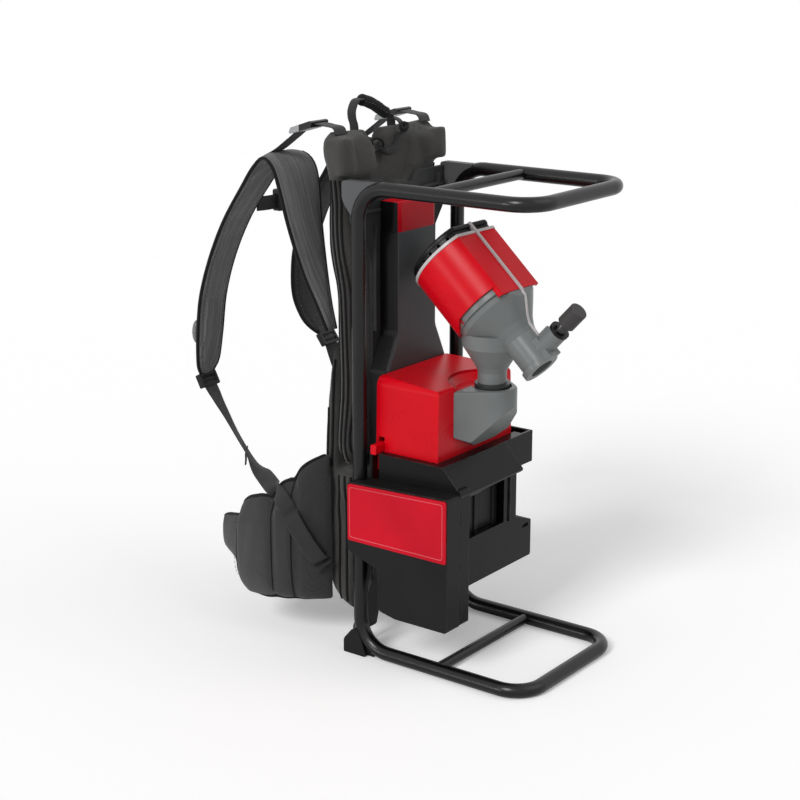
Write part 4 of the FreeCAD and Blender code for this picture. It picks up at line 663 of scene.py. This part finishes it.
def seam(name, line):
    # A row of separate stitches along a line of points, each thinner towards its ends
    reach = [0.0]
    for before, after in zip(line, line[1:]):
        reach.append(reach[-1] + (after - before).length)
    build = bmesh.new()
    for number in range(int((reach[-1] + STITCH_GAP / 2) / (STITCH + STITCH_GAP))):
        begin = STITCH_GAP / 2 + number * (STITCH + STITCH_GAP)
        first = along_line(line, reach, begin)
        ahead = (along_line(line, reach, begin + STITCH) - first).normalized()
        side = ahead.orthogonal().normalized()
        other = ahead.cross(side)
        rows = []
        for along, size in ((0, 0.3), (0.2, 1.0), (0.8, 1.0), (1.0, 0.3)):
            middle = first + ahead * (STITCH * along)
            rows.append([build.verts.new(middle + (side * math.cos(a) + other * math.sin(a)) * THREAD * size)
                         for a in (k * math.pi / 3 for k in range(6))])
        for low, high in zip(rows, rows[1:]):
            for k in range(6):
                build.faces.new((low[k], low[(k + 1) % 6], high[(k + 1) % 6], high[k]))
        build.faces.new(rows[0])
        build.faces.new(rows[-1])
    add_piece(name, made_mesh(name, build), "thread")


# A tape lies on a skin that comes this near to it, its middle this far off the skin, and goes under
# the skin over its last rows. All but the rows are in metres.
TAPE_REACH = 0.007
TAPE_REST = 0.0016
TUCKED_ROWS = 14


def ribbon(name, node, stations, width=24.0, thick=1.9, rows=70, skin=None, tuck=0.01):
    # Woven tape with rounded edges and a slight cup across the width. Width and thickness are in
    # millimetres, and each station is a point and the direction across the tape there. With a skin
    # given it lies on that surface wherever it comes close, and its last end is sewn in under it.
    spread = spread_points([tuple(point) + tuple(lie) for point, lie in stations], rows)
    centres = [at(*row[:3]) for row in spread]
    outward = [None] * rows
    if skin:
        for i, centre in enumerate(centres):
            near, normal, face, gap = skin.find_nearest(centre)
            if near is not None and (gap < TAPE_REACH or (centre - near).dot(normal) < 0):
                sunk = max(0.0, (i - rows + TUCKED_ROWS) / TUCKED_ROWS) * tuck
                centres[i] = near + normal * (TAPE_REST - sunk)
                outward[i] = normal
    rings = []
    for i, row in enumerate(spread):
        before, after = centres[max(i - 1, 0)], centres[min(i + 1, rows - 1)]
        ahead = (after - before).normalized()
        wide = Vector(row[3:6])
        if outward[i] is not None:
            wide = wide - outward[i] * wide.dot(outward[i])
        wide = (wide - ahead * wide.dot(ahead)).normalized()
        off = ahead.cross(wide)
        ring = []
        for k in range(20):
            angle = 2 * math.pi * k / 20
            c, s = math.cos(angle), math.sin(angle)
            across = math.copysign(abs(c) ** 0.35, c)
            up = math.copysign(abs(s) ** 0.6, s) * (1 - 0.3 * abs(across) ** 8)
            cup = 0.12 * across * across * math.sin(i * 0.21)
            ring.append(centres[i] + wide * across * width / 2000 + off * (up / 2 + cup) * thick / 1000)
        rings.append(ring)
    piece = add_piece(name, loft(name, rings), "web", slot="webbing_black")
    if node:
        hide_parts(node)


# Stations of the shoulder straps: Y, Z, and X of the inner and outer edge. The near one hangs
# forward, and the far one is slack.
STRAP_BACK = [(58, 438, 84, 104), (71, 470, 78, 108), (92, 515, 62, 112), (109, 572, 50, 118),
              (121, 620, 40, 121), (132, 648, 38, 121), (150, 659, 43, 119), (170, 644, 52, 117),
              (190, 618, 57, 116), (226, 567, 60, 115)]
STRAP_FRONT = [(254, 511, 62, 115), (273, 455, 62, 115), (281, 400, 63, 114), (285, 362, 67, 111),
               (287, 351, 72, 107), (288, 344, 77, 103)]
STRAP_SLACK = [(249, 515, 62, 115), (257, 475, 62, 115), (256, 432, 62, 115), (243, 401, 64, 112),
               (230, 386, 68, 109), (222, 377, 77, 103)]
# Thickness of a shoulder strap, how far its core, its seams and its binding lie inside its edge, and
# the half width and the share of the dip along a seam
STRAP_THICK = 12.0
STRAP_CORE_IN = 1.2
STRAP_SEAM_IN = 6.0
STRAP_BOUND_IN = 0.9
DIP_WIDTH, DIP_SHARE = 1.4, 0.3


def shoulder_strap(name, node, stations, side, material):
    # Foam strap: crowned faces that dip at the stitched seam, and a bound edge down each side
    rows = spread_points([(y, z, 0, inner, outer) for y, z, inner, outer in stations], 96)
    deep = STRAP_THICK / 2 - 0.3
    rings = []
    edges = ([], [])
    seams = ([], [])
    for i, (y, z, spare, inner, outer) in enumerate(rows):
        before, after = rows[max(i - 1, 0)], rows[min(i + 1, len(rows) - 1)]
        ahead = Vector((0, after[0] - before[0], after[1] - before[1])).normalized()
        across = Vector((0, -ahead.z, ahead.y))
        half = (outer - inner) / 2
        middle = (inner + outer) / 2
        end = min(1.0, (i + 1) / 5, (len(rows) - i) / 5)
        ring = []
        for k in range(44):
            angle = 2 * math.pi * k / 44
            c, s = math.cos(angle), math.sin(angle)
            share = math.copysign(abs(c) ** 0.5, c)
            wide = share * (half - STRAP_CORE_IN)
            crest = 1 - 0.35 * abs(share) ** 4
            inset = half - STRAP_CORE_IN - abs(wide)
            dip = 1 - DIP_SHARE * math.exp(-((inset - STRAP_SEAM_IN) / DIP_WIDTH) ** 2)
            wave = 1 + 0.05 * math.sin(i * 0.9 + 2.0 * math.sin(i * 0.31) + side)
            tall = math.copysign(abs(s) ** 0.8, s) * deep * crest * dip * wave * (0.35 + 0.65 * end)
            ring.append(at(side * (middle + wide), y + across.y * tall, z + across.z * tall))
        rings.append(ring)
        lift = deep * 0.62
        for slot, edge in enumerate((half - STRAP_BOUND_IN, -half + STRAP_BOUND_IN)):
            edges[slot].append(at(side * (middle + edge), y, z))
            inset = edge - math.copysign(STRAP_SEAM_IN, edge)
            seams[slot].append(at(side * (middle + inset), y - across.y * lift, z - across.z * lift))
    piece = add_piece(name, loft(name, rings), material)
    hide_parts(node)
    for tag, line in zip(("outer", "inner"), edges):
        cord_along(f"{name}_bound_{tag}", line, 0.0024, "binding")
    return piece, seams


def build_straps():
    for name, stations, side, material in (("left", STRAP_BACK + STRAP_FRONT, -1, "strap"),
                                           # The far strap takes the darker copy of the strap cloth, a painted
                                           # shade
                                           ("right", STRAP_BACK + STRAP_SLACK, 1, "strap_shaded")):
        piece, seams = shoulder_strap("strap_" + name, "shoulder_strap_" + name, stations, side, material)
        skin = surface(piece)
        for tag, line in zip("ab", seams):
            rest = []
            for point in line[2:-3]:
                hit = skin.find_nearest(point)[0]
                if hit is not None:
                    rest.append(hit)
            seam(f"stitch_strap_{name}_{tag}", rest)


# Heights of the channels of the back pad, distances of its layers from the plane of its middle, and
# the middle (X and Z) and radius of its hole
CHANNELS = (330.0, 410.0, 490.0, 570.0)
LAYERS = (-10.0, -5.0, 1.0, 8.0)
HOLE = (-17, 669)
HOLE_RADIUS = 13


def back_pad():
    # Spacer foam with sewn channels; bound layers show along its sides
    skin = surface(puffed("pad_back", "back_pad", "fabric", voxel=0.0045, cap=0.006))
    inward = Vector((0, -1, 0))
    for i, z in enumerate(CHANNELS):
        line = laid(skin, line_between(at(-96, 80, z), at(96, 80, z), 60), inward, 0.0004)
        seam(f"stitch_channel_{i}", line)
    for side, tag in ((-1, "near"), (1, "far")):
        for k, offset in enumerate(LAYERS):
            points = []
            for z in range(262, 640, 4):
                lean = 10 * ((z - 248) / 412) ** 1.6
                points.append(at(side * 90, 36.4 + lean + offset, z))
            line = laid(skin, points, Vector((-side, 0, 0)), 0.0002)
            cord_along(f"layer_{tag}_{k}", eased(line), 0.0018, "binding", sides=6)
    # Bound rim of the hole, and the end of the handle's webbing, knotted and led into it
    turn = [2 * math.pi * k / 40 for k in range(41)]
    rim = [at(HOLE[0] + HOLE_RADIUS * math.cos(a), 0, HOLE[1] + HOLE_RADIUS * math.sin(a)) for a in turn]
    cord_along("hole_rim", laid(skin, rim, -inward, 0), 0.0018, "binding")
    across, side = (1, 0, 0), (0.9, 0.1, -0.3)
    ribbon("handle_end", None, [((26, 50, 704.5), across), ((25, 41, 704.5), across), ((23, 32, 700), across),
                                ((22, 28, 690), side), ((20, 30, 680), side), ((15, 34, 669), side),
                                ((4, 37, 664), (0.4, 0.1, -0.9)), ((-8, 39, 668), (0.2, 0.2, -0.9))],
           width=9, thick=2.6, rows=60, skin=skin, tuck=0.0)
    knot = [at(21 + 5.5 * math.cos(a), 25 + 3 * math.sin(a), 693 + 4 * math.sin(a + 0.6) + k * 0.12)
            for k, a in enumerate(math.pi * n / 9 for n in range(37))]
    cord_along("handle_knot", knot, 0.0026, "binding")


# Layers of the lumbar pad, each as its Y and the heights that it runs between, and its seams' heights
LUMBAR_LAYERS = ((28.0, 58, 240), (37.0, 60, 240), (47.0, 62, 240), (60.0, 250, 396), (66.5, 250, 330))
LUMBAR_SEAMS = (110.0, 160.0, 210.0)


def lumbar_pad():
    # Thick lower cushion with its thinner layer that runs up in front of the back pad
    skin = surface(puffed("pad_lumbar", "lumbar_pad", "fabric", voxel=0.0045, cap=0.004))
    for side, tag in ((-1, "near"), (1, "far")):
        for k, (y, low, high) in enumerate(LUMBAR_LAYERS):
            points = line_between(at(side * 80, y, low), at(side * 80, y, high), 70)
            line = laid(skin, points, Vector((-side, 0, 0)), 0.0002)
            cord_along(f"lumbar_{tag}_{k}", eased(line), 0.0019, "binding", sides=6)
    for i, z in enumerate(LUMBAR_SEAMS):
        line = laid(skin, line_between(at(-88, 95, z), at(88, 95, z), 56), Vector((0, -1, 0)), 0.0004)
        seam(f"stitch_lumbar_{i}", line)


# The middle of a belt wing seen from above, as distance out (X) and forward (Y)
WING_MIDDLE = [(62, 46), (100, 62), (129, 93), (141, 134), (136, 176), (124, 206), (113, 232), (106, 250)]
# Upper and lower edge of the cushions, as distance forward and height, and the seams between them
WING_TOP = [(46, 278), (62, 270), (76, 263), (92, 250), (96, 244), (108, 237), (120, 228), (125, 213),
            (140, 212), (152, 209), (170, 201), (188, 187), (196, 168), (206, 164), (232, 155), (250, 147)]
WING_BOTTOM = [(46, 60), (93, 58), (134, 55), (176, 54), (190, 62), (206, 86), (232, 95), (250, 101)]
WING_SEAMS = (94.0, 122.5, 192.0)
# How wide a seam pinches the wing and how far it draws the top down, and half the thickness of the
# cushions and of the tongue in front of the last seam
PINCH_WIDTH, PINCH_DROP = 3.2, 6
CUSHION_HALF, TONGUE_HALF = 11.0, 7.0


def level(table, y):
    # Straight-line reading of a two-column table
    for (y0, v0), (y1, v1) in zip(table, table[1:]):
        if y <= y1:
            return v0 + (v1 - v0) * max(0.0, (y - y0) / (y1 - y0))
    return table[-1][1]


def belt_wing(name, node, side):
    # Three sewn cushions and a thinner tongue, edge on along the waist
    spread = spread_points([(x, y, 0) for x, y in WING_MIDDLE], 110)
    rows = [row for row in spread if row[0] > 94 or row[1] > 70]
    rings = []
    for i, (x, y, spare) in enumerate(rows):
        before, after = rows[max(i - 1, 0)], rows[min(i + 1, len(rows) - 1)]
        ahead = Vector((after[0] - before[0], after[1] - before[1], 0)).normalized()
        across = Vector((ahead.y, -ahead.x, 0))
        pinch = sum(math.exp(-((y - line) / PINCH_WIDTH) ** 2) for line in WING_SEAMS)
        high = level(WING_TOP, y) - PINCH_DROP * min(1.0, pinch)
        low = level(WING_BOTTOM, y)
        deep = (CUSHION_HALF if y < WING_SEAMS[-1] else TONGUE_HALF) * (1 - 0.5 * min(1.0, pinch))
        deep *= min(1.0, 0.35 + (len(rows) - 1 - i) / 6)
        ring = []
        for k in range(64):
            angle = 2 * math.pi * k / 64
            c, s = math.cos(angle), math.sin(angle)
            tall = math.copysign(abs(s) ** 0.75, s)
            out = math.copysign(abs(c) ** 0.7, c) * (1 + 0.04 * math.sin(y * 0.21 + 3 * tall))
            ring.append(at(side * (x + across.x * out * deep), y + across.y * out * deep,
                           (high + low) / 2 + tall * (high - low) / 2))
        rings.append(ring)
    piece = puffed(name, node, "wing", voxel=0.004, cap=0.004, mesh=loft(name, rings))
    skin = surface(piece)
    tag = "near" if side < 0 else "far"
    for edge, start, toward in (("low", 20, Vector((0, 0, 1))), ("high", 330, Vector((0, 0, -1)))):
        line = laid(skin, [at(side * x, y, start) for x, y, spare in rows[2:-1]], toward, 0.0)
        cord_along(f"piping_{tag}_{edge}", eased(line), 0.0026, "binding")
    for number, y in enumerate(WING_SEAMS):
        x, y = min(rows, key=lambda row: abs(row[1] - y))[:2]
        outside = Vector((side, 0, 0))
        foot = at(side * x, y, level(WING_BOTTOM, y) + 10)
        head = at(side * x, y, level(WING_TOP, y) - 12)
        points = line_between(foot, head, 50)
        line = laid(skin, points, -outside, 0.0001)
        cord_along(f"join_{tag}_{number}", eased(line), 0.0011, "binding", sides=6)
        beside = [point + Vector((0, 0.004, 0)) for point in laid(skin, points, -outside, 0.0006)]
        seam(f"stitch_{tag}_{number}", beside)
    return skin


# The lower webbing's way down the wing, and how it lies where it hangs edge on
WEB_ON_WING = [(point, (0.39, -0.79, 0.47))
               for point in ((-149, 98, 202), (-143, 76, 164), (-131, 62, 134), (-120, 53, 116))]
EDGE_ON = (0.81, 0.58, -0.05)


def mirror_run(run):
    return [((-p[0], p[1], p[2]), (-w[0], w[1], w[2])) for p, w in run]


def build_webbing(wing_skins):
    across, up = (1, 0, 0), (0, 0, 1)
    near_web = [((-90, 288, 336), across), ((-92, 277, 323), across), ((-95, 262, 307), (0.96, 0.28, 0)),
                ((-97, 246, 290), (0.88, 0.46, 0)), ((-100, 220, 260), EDGE_ON), ((-108, 188, 236), EDGE_ON),
                ((-128, 148, 225), (0.8, 0.3, 0.4)), ((-145, 116, 217), (0.5, -0.7, 0.45))] + WEB_ON_WING
    far_web = [((-90, 214, 372), across), ((-96, 200, 330), (0.95, 0.3, 0)),
               ((-106, 186, 284), (0.9, 0.43, 0)), ((-121, 160, 240), (0.85, 0.2, 0.1)),
               ((-145, 116, 217), (0.5, -0.7, 0.45))] + WEB_ON_WING
    ribbon("web_near", "lower_webbing", near_web, rows=120, skin=wing_skins[-1])
    ribbon("web_far", "lower_webbing", mirror_run(far_web), rows=110, skin=wing_skins[1])
    ribbon("tab_near", None, [((-90, 287, 362), across), ((-90, 288, 350), across),
                              ((-90, 288.5, 338), across), ((-90, 287, 330), across)], rows=16)
    ribbon("tab_far", None, [((90, 226, 386), across), ((90, 221, 380), across),
                             ((90, 216.5, 373), across), ((90, 213, 364), across)], rows=16)
    ribbon("tail_near", None, [((-101, 206, 249), EDGE_ON), ((-100, 209, 241), EDGE_ON),
                               ((-99, 210, 233), EDGE_ON), ((-100, 210, 225), EDGE_ON)], width=15, rows=14)
    lifter = [(160, 660.5), (143, 669), (122, 684), (100, 699), (78, 706), (60, 705), (46, 703), (41, 694)]
    for side, tag in ((-1, "near"), (1, "far")):
        ribbon("lifter_" + tag, "load_lifters", [((side * 90, y, z), across) for y, z in lifter], rows=60)
    chest = [((-60, 213, 585), up), ((-30, 213.6, 583.5), up), ((0, 213, 584.6), up),
             ((30, 213.4, 584), up), ((60, 213, 585), up)]
    ribbon("chest_band", "sternum_strap", chest, width=20, rows=50)


# The hand loop and the grip on it, as X and Z in the plane that it stands in
LOOP_Y = 50
LOOP = [(-52, 690), (-53, 702.8), (-57, 712), (-57.5, 722), (-51, 732.4), (-41, 734.6), (-24, 730),
        (-8, 723.5), (8, 714), (18, 710.5), (24, 706.5), (26, 702.8), (27, 690)]
GRIP = [(-42, 734.6), (-24, 730), (-8, 723.5), (8, 715), (17, 711)]
GRIP_RADIUS = 7.6


def build_handle():
    # Webbing loop flopped to one side, with a rolled and stitched grip along its slope
    ribbon("loop_handle", "carry_handle", [((x, LOOP_Y, z), (0, 1, 0)) for x, z in LOOP],
           width=14, thick=2.4, rows=90)
    rows = spread_points([(x, LOOP_Y, z) for x, z in GRIP], 60)
    last = len(rows) - 1
    rings = []
    for i, (x, y, z) in enumerate(rows):
        before, after = rows[max(i - 1, 0)], rows[min(i + 1, last)]
        ahead = Vector((after[0] - before[0], 0, after[2] - before[2])).normalized()
        across = Vector((-ahead.z, 0, ahead.x))
        end = min(i, last - i) / 4
        folds = 1 + 0.03 * math.sin(i * 1.3) + 0.02 * math.sin(i * 0.37)
        size = GRIP_RADIUS * min(1.0, 0.55 + 0.45 * end) * folds
        rings.append([at(x + across.x * math.cos(a) * size, y + math.sin(a) * size * 1.02,
                         z + across.z * math.cos(a) * size)
                      for a in (2 * math.pi * k / 28 for k in range(28))])
    grip = add_piece("sleeve_handle", loft("sleeve_handle", rings), "grip", slot="grip_rubber")
    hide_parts("handle_grip")
    seam("stitch_grip", [ring[20] for ring in rings[3:-3]])


# Middle and half sizes of the strap keeper
KEEPER_AT = (-103, 290.5, 404)
KEEPER_HALF = (9, 5.5, 17)


def build_keeper():
    # Ribbed oval keeper on the front face of the near shoulder strap
    build = bmesh.new()
    bmesh.ops.create_uvsphere(build, u_segments=28, v_segments=22, radius=1.0)
    for vertex in build.verts:
        x, y, z = vertex.co
        rib = 1 + 0.05 * math.cos(z * 26) * (1 - abs(z))
        flat = math.copysign(abs(y) ** 0.8, y)
        vertex.co = at(KEEPER_AT[0] + x * KEEPER_HALF[0] * rib, KEEPER_AT[1] + flat * KEEPER_HALF[1] * rib,
                       KEEPER_AT[2] + z * KEEPER_HALF[2])
    mesh = bpy.data.meshes.new("strap_keeper")
    build.to_mesh(mesh)
    build.free()
    add_piece("strap_keeper", mesh, "keeper", slot="buckle_black")


# Corners of the raised line on the side panel, as Y and Z, the plane it lies in, and how far its
# corners are rounded
PANEL_CORNERS = [(-2.5, 243.5), (-2.5, 175), (-151.5, 175), (-151.5, 249)]
PANEL_X = -135.05
PANEL_ROUND = 4


def label_rim():
    # Raised line just inside the edge of the side panel
    corners = PANEL_CORNERS
    line = []
    for k, (y, z) in enumerate(corners):
        before, after = corners[k - 1], corners[(k + 1) % 4]
        here = Vector((y, z))
        inward = (Vector(before) - here).normalized() * PANEL_ROUND
        onward = (Vector(after) - here).normalized() * PANEL_ROUND
        for t in (0.0, 0.25, 0.5, 0.75, 1.0):
            spot = here + inward * (1 - t) ** 2 + onward * t ** 2
            line.append(at(PANEL_X, spot.x, spot.y))
    line.append(line[0])
    cord_along("panel_rim", line, 0.0006, "label_rim", sides=6, body="battery", slot="red_plastic")


# The nose ridge in the head's own frame, in millimetres: its way from the hood to the boss, where
# the shell's height is read beside the groove and from how far out, the top of the seam strip near
# the boss, and the ridge's half width and height
RIDGE_START, RIDGE_END, RIDGE_STEP = 102, 162, 2
BESIDE_GROOVE = 3.4
OUTSIDE = 90
STRIP_TOP = 23.7
RIDGE_HALF_WIDTH, RIDGE_HEIGHT = 2.6, 1.5


def nose_ridge():
    # The light parting ridge runs on from the hood over the nose to the plunger's boss
    skin = surface(NODES["head_shell_right"])
    inward = (on_head(0, 0, 0) - on_head(0, 1, 0)).normalized()
    heights = []
    for z in range(RIDGE_START, RIDGE_END, RIDGE_STEP):
        above = on_head(BESIDE_GROOVE, OUTSIDE, z)
        hit = skin.ray_cast(above, inward)[0]
        top = 0.0 if hit is None else OUTSIDE - (hit - above).length * 1000
        heights.append((z, max(top, STRIP_TOP)))
    rings = []
    for spot in eased([Vector((0, y, z)) for z, y in heights]):
        ring = []
        for a in (2 * math.pi * k / 14 for k in range(14)):
            rise = RIDGE_HEIGHT * math.sin(a) * (1 if math.sin(a) > 0 else 0.7)
            ring.append(on_head(RIDGE_HALF_WIDTH * math.cos(a), spot.y + rise, spot.z))
        rings.append(ring)
    add_piece("nose_ridge", loft("nose_ridge", rings), "trim", body="motor_head", slot="trim_grey")


bpy.context.scene.view_settings.view_transform = "Standard"
make_camera()
make_floor()
make_surround()
make_lights()
MATERIALS = make_materials()
dress_nodes()
build_straps()
back_pad()
lumbar_pad()
wing_skins = {-1: belt_wing("wing_left", "hip_belt_left", -1),
              1: belt_wing("wing_right", "hip_belt_right", 1)}
build_webbing(wing_skins)
build_handle()
build_keeper()
label_rim()
nose_ridge()
